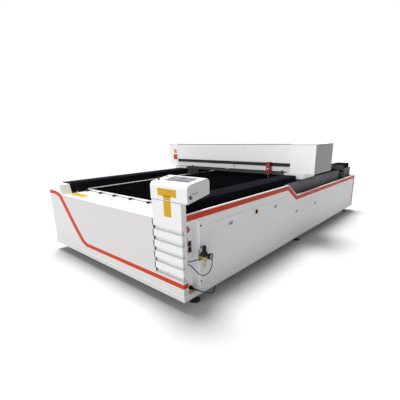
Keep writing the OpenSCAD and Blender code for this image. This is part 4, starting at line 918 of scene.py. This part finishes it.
@dataclass
class Stripes:
    """Orange stripes on the front, round the right corner and along both sides, and painted shade in the louvres'
    slits: dark strips at their left ends.
    """

    width: float = 43.0
    front_width: float = 37.0
    swell: float = 1.0
    proud: float = 0.4
    edge_gap: float = 8.0
    louvres: int = 5
    foot: float = 133.0
    level: float = 204.0
    shoulder: float = 683.0
    wrap: float = 46.0
    gap: float = 2.0
    rise: tuple[float, float] = (84.0, 130.0)
    rear_margin: float = 46.0
    slit: tuple[float, float] = (-9.6, -0.6)
    slit_share: tuple[float, float] = (0.66, 0.08)
    notch: tuple[float, float] = (1580.0, 1797.0)
    front: Points = ((-1043.6, 683), (-975, 682), *FRONT_CURVE, (400, 204), (1044, 204))

    def _band(self, line: np.ndarray, level: float, outward: float, axis: str, half: Any = None) -> Shape:
        """A band along a line on a panel.

        Args:
            line: its middle, an (n, 2) array in the panel's two axes.
            level: the panel's place along the third axis.
            outward: 1 or -1, the way that the panel faces.
            axis: the third axis.
            half: half of its width, or a column of them, where that isn't the side stripes' own.
        Returns:
            The shape.
        """
        half = self.width / 2.0 if half is None else half
        low, high = sorted((level - SUNK * outward, level + self.proud * outward))
        return Shape.ribbon(offset_line(line, half), offset_line(line, -half), low, high, axis)

    def build(self) -> None:
        """Make the slit shade and the stripes; the front one's half widths grow with its steepness."""
        louvres, panel, left, right, rear = map(Datum.of, (
            "louvre_panel", "front_panel", "left_side_panel", "right_side_panel", "rear_panel"))
        pitch = (louvres.high[2] - louvres.low[2]) / self.louvres
        x, y = louvres.low[0], Datum.of("pod_column").low[1]
        (x0, x1), (deep, shallow) = self.slit, self.slit_share
        slits = [Shape.block((x + x0, y - 0.5, top - deep * pitch), (x + x1, y + SUNK, top - shallow * pitch))
                 for top in louvres.high[2] - pitch * np.arange(self.louvres)]
        # painted shade: dark strips stand for the shade inside the louvres' slits at their left ends
        Piece("louvre_slits", Shape.join(slits), "white_paint", finish="dark_field").ride()
        front_y, side_x, start = louvres.low[1], louvres.high[0], panel.low[1]
        sunk = self.edge_gap + self.width / 2.0
        back = rear.high[1] - self.rear_margin - sunk
        curve = smooth_path(self.front, 5)
        way = np.gradient(curve, axis=0)
        steep = np.abs(way[:, 1:]) / np.linalg.norm(way, axis=1, keepdims=True)
        half = self.front_width / 2.0
        corner = np.array([(front_y - self.proud, self.level), (front_y + self.wrap, self.level)])
        shapes = [self._band(curve, front_y, -1.0, "Y", half * (1.0 + self.swell * steep)),
                  self._band(corner, side_x, 1.0, "X", half)]
        Piece("front_stripe", Shape.join(shapes), "white_paint", finish="orange").ride()
        top, low = right.high[2], rear.high[2] + self.gap
        outline = np.array([(front_y + self.wrap + self.gap, top), (start + self.notch[0], top),
                            (start + self.notch[1], low), (back + sunk, low), (back + sunk, self.foot)])
        high = left.high[2] - sunk
        line = np.array([(front_y - self.proud, self.shoulder), (front_y + self.rise[0], self.shoulder),
                         (front_y + self.rise[1], high), (back, high), (back, self.foot)])
        for name, path, side in (("right_stripe", offset_line(outline, -sunk), 1.0), ("left_stripe", line, -1.0)):
            Piece(name, self._band(path, side * side_x, side, "X"), "grey_paint", finish="orange").ride()


@dataclass
class EdgeTrims:
    """White sloped beads on the base band's ledge, and a white chamfered trim at the service recess's rear edge, both
    lighter than the body's white as painted highlight lines.
    """

    band: float = 40.0
    ledge: float = 5.8
    rise: float = 5.0
    lip: float = 1.2
    bite: float = 0.1
    proud: float = 8.0
    flat: float = 4.0
    gap: float = 9.0

    def build(self) -> None:
        """Make the beads and the trim; each bead fills the ledge with a slope that faces up and out, and both carry a
        painted highlight white.
        """
        panel, right, recess, regulator = map(Datum.of, (
            "louvre_panel", "right_side_panel", "interface_panel", "regulator_body"))
        side_x, front_y, back_y = panel.high[0], panel.low[1], right.high[1]
        foot, edge = right.low[2] + self.band, recess.high[1] + 1.0
        slope = np.array([(-self.bite, 0.0), (self.ledge, 0.0), (self.ledge, self.lip), (-self.bite, self.rise)])
        slope = slope + (0.0, foot)
        runs = ((1.0, front_y - self.ledge, recess.low[1]), (1.0, edge, back_y), (-1.0, front_y - self.ledge, back_y))
        beads = [Shape.prism(slope * (s, 1.0) + (s * side_x, 0.0), low, high, "Y") for s, low, high in runs]
        beads.append(Shape.prism(slope * (-1.0, 1.0) + (front_y, 0.0), -side_x, side_x, "X"))
        Piece("band_beads", Shape.join(beads), "white_paint", finish="edge_white_highlight").ride()
        inside, outside, crest = side_x - self.bite, side_x + self.proud, edge + self.proud
        outline = np.array([(inside, edge), (outside, crest), (outside, crest + self.flat),
                            (inside, crest + self.flat)])
        spans = ((foot + self.rise, regulator.low[2] - self.gap), (regulator.high[2] + self.gap, recess.high[2]))
        Piece("recess_trim", Shape.join(Shape.prism(outline, *span) for span in spans), "white_paint",
              finish="edge_white_highlight").ride()


@dataclass
class BedFittings:
    """Pale trims on the bed's side and front rims, the clamp bar's star screws and the gold field on the ledge."""

    screws: tuple[float, ...] = (-705.0, -439.0, -177.0, 93.0, 359.0)
    star: Points = ((0, -SUNK), (9, -SUNK), (9, 5), (17, 6), (18, 8), (17, 14), (12, 16.4), (0, 17))
    star_turn: float = 17.0
    trim: tuple[float, float] = (24.0, 9.0)
    margin: float = 1.0
    front_trim: tuple[float, float] = (11.8, 4.0)
    field: tuple[float, float, float, float] = (-738.0, -430.0, 70.0, 160.0)
    overhang: float = 6.0

    def build(self) -> None:
        """Make the fittings."""
        tray, bar, ledge = map(Datum.of, ("bed_tray", "clamp_bar", "front_ledge"))
        wide, high = self.trim
        rails = [Shape.block((x, tray.low[1], tray.high[2] - 0.1), (x + wide, tray.high[1], tray.high[2] + high))
                 for x in (tray.low[0] + self.margin, tray.high[0] - self.margin - wide)]
        (deep, lip), aside, front = self.front_trim, 2.0 * self.margin + wide, tray.low[1] - 0.8
        rails.append(Shape.block((tray.low[0] + aside, front, bar.high[2] + 0.6),
                                 (tray.high[0] - aside, front + deep, tray.high[2] + lip)))
        Piece("bed_trims", Shape.join(rails), "white_paint", bevel=0.6).ride()
        star = Shape.lathe(self.star, 40, lobes=5, lobe_depth=0.16)
        stars = [star.turned("Z", self.star_turn * k).moved(x, bar.middle[1], bar.high[2])
                 for k, x in enumerate(self.screws)]
        Piece("clamp_screws", Shape.join(stars), "black_plastic").ride()
        x0, x1, d0, d1 = self.field
        outline = rounded(x1 - x0, d1 - d0, 6.0, at=((x0 + x1) / 2.0, ledge.low[1] - self.overhang + (d0 + d1) / 2.0))
        Piece("ledge_field", Shape.prism(outline, ledge.high[2] - 0.1, ledge.high[2] + 0.3), "white_paint",
              finish="gold_field").ride()


@dataclass
class Bellows:
    """Pleated covers over the long rails: black coated cloth over stiffeners, with a plate at each end."""

    pitch: float = 27.0
    fold: float = 16.0
    corner: float = 12.0
    cloth: float = 0.9
    plate: float = 4.0
    plate_margin: float = 6.0
    rail_half: float = 10.0
    foot_gap: float = 0.3
    parts: int = 8
    wave: Points = ((0.0, 0.0), (0.1, 0.12), (0.45, 1.0), (0.55, 1.0), (0.9, 0.12))

    def _section(self, half: float, low: float, high: float) -> tuple[np.ndarray, np.ndarray]:
        """Open line of the section from one foot over the top to the other, with its outward normals.

        Args:
            half: half of the width.
            low, high: its heights.
        Returns:
            Two (n, 2) arrays in X and Z.
        """
        turn = np.linspace(np.pi, np.pi / 2.0, 6)
        arc = np.column_stack([-half + self.corner + self.corner * np.cos(turn),
                               high - self.corner + self.corner * np.sin(turn)])
        left = np.vstack([[(-half, low), (-half, (low + high) / 2.0)], arc])
        way = np.vstack([[(-1.0, 0.0), (-1.0, 0.0)], np.column_stack([np.cos(turn), np.sin(turn)])])
        line = np.vstack([left, [(0.0, high)], left[::-1] * (-1.0, 1.0)])
        return line, np.vstack([way, [(0.0, 1.0)], way[::-1] * (-1.0, 1.0)])

    def _cover(self, y0: float, y1: float, x: float, section: tuple[np.ndarray, np.ndarray]) -> Shape:
        """Pleated cloth: each point of the section sinks along its normal by the fold's depth times a wave of y.

        Args:
            y0, y1: the two places between which it lies.
            x: middle of its rail.
            section: open line of the section and its outward normals.
        Returns:
            The shape.
        """
        count = max(2, round((y1 - y0) / self.pitch))
        share, sink = np.array(self.wave).T
        y = (y0 + (np.arange(count)[:, None] + share) * ((y1 - y0) / count)).ravel()
        y, sink = np.append(y, y1), np.append(np.tile(sink, count), 0.0)
        line, way = section
        outer = line[None] - way[None] * (self.fold * sink)[:, None, None]
        loop = np.concatenate([outer, (outer - way[None] * self.cloth)[:, ::-1]], axis=1)
        points = np.stack([loop[..., 0] + x, np.repeat(y[:, None], loop.shape[1], axis=1), loop[..., 1]], axis=-1)
        return Shape.grid(points, wrap_v=True, caps=True)

    def build(self) -> None:
        """Make the four covers in short parts one after another, and their end plates."""
        rail_x = Datum.of("linear_rails").high[0] - self.rail_half
        for node, bodies in (("front_bellows", ("base", "gantry")), ("rear_bellows", ("gantry", "base"))):
            box = Datum.of(node)
            section = self._section(box.high[0] - rail_x, box.low[2] + self.foot_gap, box.high[2])
            cuts = np.linspace(box.low[1] + self.plate, box.high[1] - self.plate, self.parts + 1)
            for part, span in enumerate(zip(cuts[:-1], cuts[1:])):
                covers = Shape.join(self._cover(*span, side * rail_x, section) for side in (-1, 1))
                made = Piece(f"{node}_{part}", covers, "bellows_cloth", crease=30.0).make()
                stretch(made, bodies, span, (part / self.parts, (part + 1) / self.parts))
                if part == 0:
                    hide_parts(node)
            line, way = section
            band = np.vstack([line, (line - way * (self.fold + self.plate_margin))[::-1]])
            for body, y in zip(bodies, (box.low[1], box.high[1] - self.plate)):
                plates = [Shape.prism(band + (side * rail_x, 0.0), y, y + self.plate, "Y") for side in (-1, 1)]
                Piece(f"{node}_plate_{body}", Shape.join(plates), "black_plastic", body).ride()
        LOG.info("bellows in %d parts each", self.parts)


@dataclass
class DragChain:
    """Cable chain: links of two side plates and two crossbars, hung on pins.

    The lower run lies in the trough, the bend rolls, and the upper run climbs as z = lift * t^2 to its bracket.
    """

    link: float = 48.0
    height: float = 45.0
    plate: float = 3.2
    overlap: float = 20.0
    lower_links: int = 17
    bend_links: int = 9
    upper_links: int = 18
    lift: float = 150.0
    parts: int = 4
    play: float = 0.15
    inset: tuple[float, float] = (2.0, 6.0)
    pin: float = 6.5

    def _link(self, width: float, outer: bool, length: float) -> Shape:
        """One link about its own middle, lying along Y.

        Args:
            width: over the chain.
            outer: whether its plates lie outside its neighbours' plates.
            length: from pin to pin.
        Returns:
            The shape.
        """
        edge = width / 2.0 - (0.0 if outer else self.plate + self.play)
        tall = self.height - self.inset[0 if outer else 1]
        side, bar = rounded(length + self.overlap, tall, 17.0, 4), rounded(15.0, 4.5, 1.8, 3)
        parts = [Shape.prism(side, *sorted((s * edge, s * (edge - self.plate))), "X") for s in (-1, 1)]
        parts += [Shape.prism(bar + (0.0, s * (tall / 2.0 - 3.0)), 2.0 - edge, edge - 2.0, "X") for s in (-1, 1)]
        if outer:
            pins = [circle(self.pin, 12, (end * length / 2.0, 0.0)) for end in (-1, 1)]
            parts += [Shape.prism(pin, *sorted((s * (edge - 0.5), s * (edge + 0.9))), "X")
                      for s in (-1, 1) for pin in pins]
        return Shape.join(parts)

    def _run(self, pins: np.ndarray, x: float, width: float, first: int = 0) -> list[Shape]:
        """Links between pins.

        Args:
            pins: an (n, 2) array of Y and Z.
            x: middle of the chain.
            width: over the chain.
            first: number of the first link, which says whether its plates are the outer ones.
        Returns:
            One shape for each link.
        """
        links = []
        for k, (a, b) in enumerate(zip(pins[:-1], pins[1:])):
            length, turn = float(np.hypot(*(b - a))), math.degrees(math.atan2(b[1] - a[1], b[0] - a[0]))
            links.append(self._link(width, (k + first) % 2 == 0, length).turned("X", turn).moved(x, *((a + b) / 2.0)))
        return links

    def _stretching(self, name: str, links: list[Shape], pins: np.ndarray, bodies: tuple[str, str],
                    share: float) -> None:
        """Make a run's links as parts, one after another.

        Args:
            name: of the run, and of its CAD node without the "_run" at the end.
            links: one shape for each link.
            pins: an (n, 2) array of Y and Z.
            bodies: passed on to stretch, which does not use them.
            share: worked into the shares passed on to stretch, which does not use them.
        """
        cuts = np.linspace(0, len(links), self.parts + 1).round().astype(int)
        for part, (i, j) in enumerate(zip(cuts[:-1], cuts[1:])):
            made = Piece(f"{name}_{part}", Shape.join(links[i:j]), "black_plastic").make()
            span = (pins[i, 0], pins[j, 0])
            stretch(made, bodies, span, [share * (y - pins[0, 0]) / (pins[-1, 0] - pins[0, 0]) for y in span])
            if part == 0:
                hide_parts(name + "_run")

    def build(self) -> None:
        """Make the three runs and the lower run's anchor."""
        lower, bend, upper = map(Datum.of, ("chain_lower_run", "chain_bend", "chain_upper_run"))
        x, width = bend.middle[0], bend.high[0] - bend.low[0]
        centre = np.array([bend.low[1], bend.middle[2]])
        radius = (bend.high[2] - bend.low[2]) / 2.0 - self.height / 2.0 + 1.0
        pins = np.column_stack([centre[0] - self.link * np.arange(self.lower_links, -1, -1),
                                np.full(self.lower_links + 1, centre[1] - radius)])
        self._stretching("chain_lower", self._run(pins, x, width, 1), pins, ("base", "chain_loop"), 1.0)
        anchor = Shape.block(lower.low, (lower.high[0], pins[0, 0] + 4.0, lower.high[2] - 8))
        Piece("chain_anchor", anchor, "zinc", bevel=1.5).ride()
        turn = np.linspace(-np.pi / 2.0, np.pi / 2.0, self.bend_links + 1)
        pins = centre + radius * np.column_stack([np.cos(turn), np.sin(turn)])
        roll = Shape.join(self._run(pins, x, width))
        Piece("chain_roll", roll, "black_plastic", "chain_loop").ride("chain_bend")
        t = np.linspace(1.0, 0.0, self.upper_links + 1)
        pins = np.column_stack([centre[0] - t * (centre[0] - upper.low[1]), centre[1] + radius + self.lift * t * t])
        self._stretching("chain_upper", self._run(pins, x, width), pins, ("gantry", "base"), 0.5)


# ---------------------------------------------------------------- controls and services


@dataclass
class ServicePanel:
    """Small things in the recess at the front right: button face, key ring, socket inserts, floor field, screws."""

    flange_screws: Points = ((197.0, 617.0), (192.0, 456.0), (190.0, 182.0))
    ring: float = 12.0
    wire: float = 1.1
    fob: tuple[float, float, float] = (22.0, 34.0, 6.0)
    hang: tuple[float, float] = (1.0, 9.0)
    sockets: tuple[float, float] = (497.0, 451.0)
    slots: tuple[float, float] = (70.0, 78.0)
    slot: tuple[float, float] = (2.2, 7.0)
    plate: float = 2.0
    floor: tuple[float, float] = (26.0, 74.0)

    def build(self) -> None:
        """Make the pieces."""
        stop, key, panel = map(Datum.of, ("estop_button", "key", "interface_panel"))
        side_x, front, back_x = panel.high[0], Datum.of("front_panel").low[1], panel.low[0] + self.plate
        face = Shape.lathe([(0, 0.4), (6, 0.4), (6.5, 0), (0, 0)], 32).turned("Y")
        Piece("stop_face", face.moved(stop.high[0] - 0.05, *stop.middle[1:]), "estop_red", "estop", "pale_red").ride()
        centre = np.array([key.high[0] + self.hang[0], key.middle[1], key.middle[2] - self.hang[1]])
        angle = ring_angles(40)
        loop = np.column_stack([self.ring * np.cos(angle), np.zeros(40), self.ring * np.sin(angle)])
        around = ring_angles(8)
        points = loop[:, None] * (1.0 + self.wire / self.ring * np.cos(around))[None, :, None]
        points = points + np.array([0.0, self.wire, 0.0]) * np.sin(around)[None, :, None]
        ring = Shape.grid(points, wrap_u=True, wrap_v=True).moved(*centre)
        Piece("key_ring", ring, "key_metal", "power_key").ride()
        wide, tall, thick = self.fob
        outline = rounded(wide, tall, 9.0, at=(key.middle[1], centre[2] - self.ring - tall / 2.0 + 3.0))
        fob = Shape.prism(outline, centre[0] - thick / 2.0, centre[0] + thick / 2.0, "X")
        Piece("key_fob", fob, "black_plastic", "power_key", bevel=1.5).ride()
        thin, half = self.slot
        slots = [Shape.block((back_x + 1.6, front + y, z - half), (back_x + 2.2, front + y + thin, z + half))
                 for z in self.sockets for y in self.slots]
        Piece("socket_slots", Shape.join(slots), "steel").ride()
        floor = rounded(*self.floor, 3.0, at=(back_x + 17.0, panel.middle[1] - 8.0))
        Piece("recess_field", Shape.prism(floor, panel.low[2] + 1.9, panel.low[2] + 2.4), "grey_paint",
              finish="yellow_field").ride()
        screw = button_screw(7.2, 4.2).turned("Y")
        Piece("flange_screws", Shape.join(screw.moved(side_x, front + d, z) for d, z in self.flange_screws),
              "black_plastic").ride()


@dataclass
class ControlPod:
    """Keypad, display, slot, round port and plain coloured fields of the control pod and its column."""

    keypad: tuple[float, float] = (241.0, 113.0)
    display: tuple[float, float] = (96.0, 54.0)
    middle: tuple[float, float] = (200.0, 116.0)
    display_at: tuple[float, float] = (142.0, 138.0)
    slot_at: tuple[float, float] = (28.0, 146.0)
    lift: float = -2.0
    bezel: float = 9.0
    field_x: float = 173.0
    port_at: tuple[float, float] = (30.0, 42.0)
    port: Points = ((0, -0.4), (12, -0.4), (12, 2.5), (9.5, 3.2), (9.5, 9), (6.5, 9), (6.5, 4), (0, 4))
    port_core: Points = ((0, 3.6), (4.6, 3.6), (4.6, 8.4), (3.6, 9.2), (0, 9.2))
    slope: float = math.degrees(math.atan2(22.0, 222.0))

    def _on_top(self, shape: Shape, x: float, y: float, lift: float) -> Shape:
        """Lay a shape made about zero on the pod's sloping top.

        Args:
            shape: the shape, with Z away from the top.
            x, y: its place from the pod's left front corner.
            lift: height over the top.
        Returns:
            The shape in place.
        """
        pod = Datum.of("pod_shell")
        rise = math.tan(math.radians(self.slope))
        top = pod.high[2] - (pod.high[1] - pod.low[1] - y) * rise + lift
        return shape.turned("X", self.slope).moved(pod.low[0] + x, pod.low[1] + y, top)

    def build(self) -> None:
        """Make the pieces."""
        pod, column = map(Datum.of, ("pod_shell", "pod_column"))
        wide, deep = self.display
        window = rounded(wide, deep, 3.0)
        bezel = Shape.ring_plate(rounded(wide + self.bezel, deep + self.bezel, 5.0), window, 1.3, 2.6)
        cap = Shape.prism(rounded(13.0, 9.0, 2.5), 1.3, 2.8)
        caps = [cap.moved(x0 + 20.0 * i, y0 + dy * j) for x0, y0, dy, columns, rows in (
            (-102.0, -44.0, 13.5, 6, 3), (40.0, -10.0, 17.0, 4, 4)) for i in range(columns) for j in range(rows)]
        for name, shape, (x, y), lift, finish, bevel in (
                ("keypad", Shape.prism(rounded(*self.keypad, 7.0), 0.0, 1.5), self.middle, self.lift, "keypad_grey",
                 0.4),
                ("display", Shape.prism(window, 1.4, 2.1), self.display_at, self.lift, "screen", 0.0),
                ("display_frame", bezel, self.display_at, self.lift, "black_plastic", 0.4),
                ("keypad_keys", Shape.join(caps), self.middle, self.lift, "key_cap", 0.5),
                ("pod_slot", Shape.prism(rounded(36.0, 15.0, 6.0), -0.4, 2.4), self.slot_at, 0.0, "black_plastic",
                 0.8)):
            Piece(name, self._on_top(shape, x, y, lift), "black_plastic", finish=finish, bevel=bevel).ride()
        x, front = pod.low[0] + self.field_x, pod.low[1]
        front_fields([(name, (x, z), size, front, "gold_field") for name, z, size in (
            ("pod_field", pod.low[2] + 60.0, (188.0, 52.0)), ("pod_field_foot", pod.low[2] + 23.0, (74.0, 30.0)),
            ("column_field", column.low[2] + 85.0, (74.0, 110.0)))], 3.0, 0.35, "pod_plastic")
        side = (pod.high[0], front + self.port_at[0], pod.low[2] + self.port_at[1])
        shell, core = Shape.lathe(self.port, 36), Shape.lathe(self.port_core, 28)
        Piece("pod_port", shell.turned("Y").moved(*side), "black_plastic").ride()
        Piece("pod_port_core", core.turned("Y").moved(*side), "brass").ride()


@dataclass
class AirRegulator:
    """Gauge dial with its ticks, glass and ring, and the guard bands of the bowl."""

    ticks: int = 11
    sweep: float = 270.0
    sides: int = 48
    bands: tuple[float, ...] = (16.0, 24.0, 32.0)
    dial: float = 20.2
    glass: float = 20.4
    ring: Points = ((20.4, 0), (23.4, 0), (23.6, 1.2), (22.6, 2.4), (20.8, 2.2))

    def build(self) -> None:
        """Make the pieces; the ring's open profile is closed along its inner edge."""
        gauge, bowl = map(Datum.of, ("gauge", "regulator_bowl"))
        x, y, z = gauge.low[0], *gauge.middle[1:]
        dial = Shape.prism(circle(self.dial, 40, (y, z)), x + 14.9, x + 15.4, "X")
        # painted shade: the dial is painted near-black for the shade on the gauge's face
        Piece("gauge_dial", dial, "black_plastic", finish="dial_painted_shade").ride()
        mark = Shape.block((x + 15.3, -0.5, 14.0), (x + 15.7, 0.5, 18.5))
        angles = np.linspace(-self.sweep / 2.0, self.sweep / 2.0, self.ticks)
        Piece("gauge_ticks", Shape.join(mark.turned("X", float(a)).moved(0.0, y, z) for a in angles),
              "black_plastic").ride()
        glass = Shape.prism(circle(self.glass, 40, (y, z)), x + 19.2, x + 19.9, "X")
        Piece("gauge_glass", glass, "laser_glass").ride()
        ring = Shape.lathe(self.ring, self.sides)
        near, last = np.arange(self.sides), (len(self.ring) - 1) * self.sides
        after = np.roll(near, -1)
        ring.faces.append(np.column_stack([near, after, last + after, last + near]))
        Piece("gauge_ring", ring.turned("Y").moved(x + 19.6, y, z), "black_plastic").ride()
        band = Shape.ring_plate(circle(12.4), circle(11.7), 0.0, 2.0)
        places = [band.moved(*bowl.middle[:2], bowl.high[2] - depth) for depth in self.bands]
        Piece("bowl_bands", Shape.join(places), "brass").ride()


@dataclass
class Hatches:
    """Grey linings of the flush pulls, and the lock's gold plate."""

    pull: tuple[float, float] = (60.0, 28.0)
    half: float = 21.6
    arc: tuple[float, float, float] = (8.0, 12.8, 12.2)
    plate: tuple[float, float] = (54.0, 36.0)
    plate_drop: float = 39.0

    def _lining(self, x: float, y: float, z: float) -> list[Shape]:
        """Lining of one pull: an arc that hugs its dish, and a thin frame round its mouth.

        Args:
            x: the panel's outer face.
            y, z: middle of the pull.
        Returns:
            The two shapes.
        """
        turn = np.radians(np.linspace(130.0, 230.0, 13))
        out, outer, inner = self.arc
        rows = [np.column_stack([x + out + r * np.cos(turn), np.full(13, y + s * self.half), z + r * np.sin(turn)])
                for r, s in ((outer, -1), (outer, 1), (inner, 1), (inner, -1))]
        wide, tall = self.pull
        mouth = (rounded(wide - 3, tall - 3, 4.0, at=(y, z)), rounded(wide - 15, tall - 8, 2.5, at=(y, z)))
        return [Shape.grid(np.stack(rows, axis=1), wrap_v=True, caps=True),
                Shape.ring_plate(*mouth, x - 0.1, x + 0.9, "X")]

    def build(self, pulls: Sequence[tuple[str, tuple[float, ...], float]]) -> None:
        """Make the linings and the plate.

        Args:
            pulls: body, stations along Y and height of the pulls of each hatch.
        """
        side_x = Datum.of("louvre_panel").high[0]
        for body, stations, z in pulls:
            lining = Shape.join(part for y in stations for part in self._lining(side_x, y, z))
            Piece(f"{body}_pull_linings", lining, "black_plastic", body, "pull_grey").ride()
        at = (Datum.of("door_lock").middle[1], Datum.of("front_door").high[2] - self.plate_drop)
        plate = Shape.ring_plate(rounded(*self.plate, 4.0, 8, at), circle(12.0, at=at), side_x + 2.9, side_x + 3.3,
                                 "X")
        Piece("lock_plate", plate, "mirror_gold", "front_hatch").ride()


# ---------------------------------------------------------------- gantry


@dataclass
class GantryDetails:
    """Slot line, plain fields, lid and end trims, cover screws, and the inner parts of the laser tube."""

    line: float = 3.0
    core: float = 9.0
    end_screws: tuple[float, float, float] = (834.0, 846.0, 1095.0)
    front_screws: tuple[float, float] = (1108.0, 936.0)
    margins: tuple[float, float] = (34.0, 24.0)
    end_middle: float = 250.0
    trim: float = 7.0
    reach: float = 60.0
    electrode: float = 40.0

    def build(self) -> None:
        """Make the pieces."""
        strip, covers, tube, ends, lid = map(Datum.of, (
            "dust_strip", "gantry_covers", "laser_tube", "gantry_end_covers", "gantry_lid"))
        z, y, front = strip.middle[2], ends.low[1], covers.low[1]
        slot = Shape.block((strip.low[0] + 2.0, strip.low[1] - 0.4, z - self.line),
                           (strip.high[0] - 2.0, strip.low[1] + 0.2, z + self.line))
        Piece("strip_line", slot, "belt_rubber", "gantry", "dark_field").ride()
        front_fields((("end_field_upper", (-1034.0, 1030.0), (56.0, 56.0), y, "gold_field"),
                      ("end_field_lower", (-1034.0, 944.0), (84.0, 80.0), y, "muted_red"),
                      ("apron_field", (89.0, 852.0), (24.0, 22.0), front, "grey_field")),
                     4.0, 0.3, "white_paint", "gantry")
        trim = Shape.block((lid.low[0] + 1.0, lid.low[1] - 0.5, lid.low[2] + 1.0),
                           (lid.high[0] - 1.0, lid.low[1] + 0.2, lid.high[2] - 0.5))
        Piece("lid_trim", trim, "white_paint", "gantry_lid", "trim_grey").ride()
        trims = [Shape.block((low, y - 0.5, ends.high[2] - self.trim), (high, y + 0.2, ends.high[2] - 0.5))
                 for low, high in ((ends.low[0] + 2.0, covers.low[0] - 1.0),
                                   (covers.high[0] + 1.0, ends.high[0] - 2.0))]
        Piece("end_trims", Shape.join(trims), "white_paint", "gantry", "trim_grey").ride()
        screw = button_screw(4.0, 2.6)
        right_low, left_low, high = self.end_screws
        places = [screw.turned("Y", 90.0 * side).moved(side * ends.high[0], at, h)
                  for side, low in ((-1, left_low), (1, right_low))
                  for at in (front + self.margins[0], front + self.end_middle, covers.high[1] - self.margins[0])
                  for h in (low, high)]
        places += [screw.turned("X").moved(at, front, h) for h in self.front_screws
                   for at in np.linspace(covers.low[0] + self.margins[1], covers.high[0] - self.margins[1], 7)]
        Piece("cover_screws", Shape.join(places), "zinc", "gantry").ride()
        reach, centre = tube.high[0] - self.reach, tube.middle[1:]
        hole, rim = self.core * 2.2, self.core * 3.2
        ring = Shape.lathe([(hole, -9), (rim, -9), (rim, 9), (hole, 9), (hole, -9)], 32).turned("Y")
        rings = Shape.join(ring.moved(s * (reach - self.electrode), *centre) for s in (-1, 1))
        Piece("tube_electrodes", rings, "brass", "gantry", "copper").ride()
        axis = np.column_stack([np.linspace(-reach, reach, 9), np.tile(centre, (9, 1))])
        Piece("tube_core", Shape.tube(axis, self.core, 20), "laser_glass", "gantry").ride()


@dataclass
class HeadDetails:
    """White window, focus knob and brass nozzle ring of the laser head."""

    window: Points = ((0, -2), (8.6, -2), (8.6, 0.6), (7.4, 1.4), (0, 1.4))
    window_z: float = 70.0
    knob: Points = ((0, -SUNK), (3, -SUNK), (3, 4), (8, 4.4), (8.4, 6), (8.4, 12), (7, 13.4), (0, 13.4))
    knob_z: float = 24.0
    ring: tuple[float, float] = (8.4, 9.6)
    ring_z: tuple[float, float] = (9.0, 13.5)

    def build(self) -> None:
        """Make the pieces."""
        head, lens = map(Datum.of, ("head_body", "lens_tube"))
        x, y, low = *lens.middle[:2], head.low[2]
        dot = Shape.lathe(self.window, 28).turned("X").moved(x, head.low[1], low + self.window_z)
        Piece("head_window", dot, "red_anodised", "carriage", "window_white").ride()
        knob = Shape.lathe(self.knob, 36, lobes=12, lobe_depth=0.035).turned("Y")
        Piece("focus_knob", knob.moved(head.high[0], y, low + self.knob_z), "aluminium", "carriage").ride()
        inner, outer = (circle(radius, 28, (x, y)) for radius in self.ring)
        ring = Shape.ring_plate(outer, inner, *(lens.low[2] + z for z in self.ring_z))
        Piece("nozzle_ring", ring, "brass", "lens").ride()


def dress_nodes(frame: dict[str, Any]) -> None:
    """Give every CAD node its own finish, or that of its record slot.

    Args:
        frame: the loaded frame.
    """
    own, parts = own_finishes(), frame["record"]["subparts"]
    for part in parts:
        mesh = frame["nodes"][part["node"]].data
        mesh.materials.clear()
        mesh.materials.append(own.get(part["node"], FINISHES[part["material_slot"]]).material())
    LOG.info("%d nodes dressed", len(parts))


def main() -> None:
    """Build the machine's looks in order."""
    logging.basicConfig(level=logging.INFO, format="%(name)s: %(message)s")
    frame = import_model()
    bpy.context.scene.view_settings.view_transform = "Standard"
    studio = Studio()
    studio.camera()
    Services().build()
    dress_nodes(frame)
    for assembly in (Stripes(), EdgeTrims(), BedFittings(), Bellows(), DragChain(), ServicePanel(), ControlPod(),
                     AirRegulator()):
        assembly.build()
    Hatches().build((("front_hatch", (-1458.0, -712.0), 553.0), ("rear_hatch", (-202.0, 336.0), 406.0)))
    GantryDetails().build()
    HeadDetails().build()
    studio.floor()
    studio.lights()


if __name__ == "__main__":
    main()
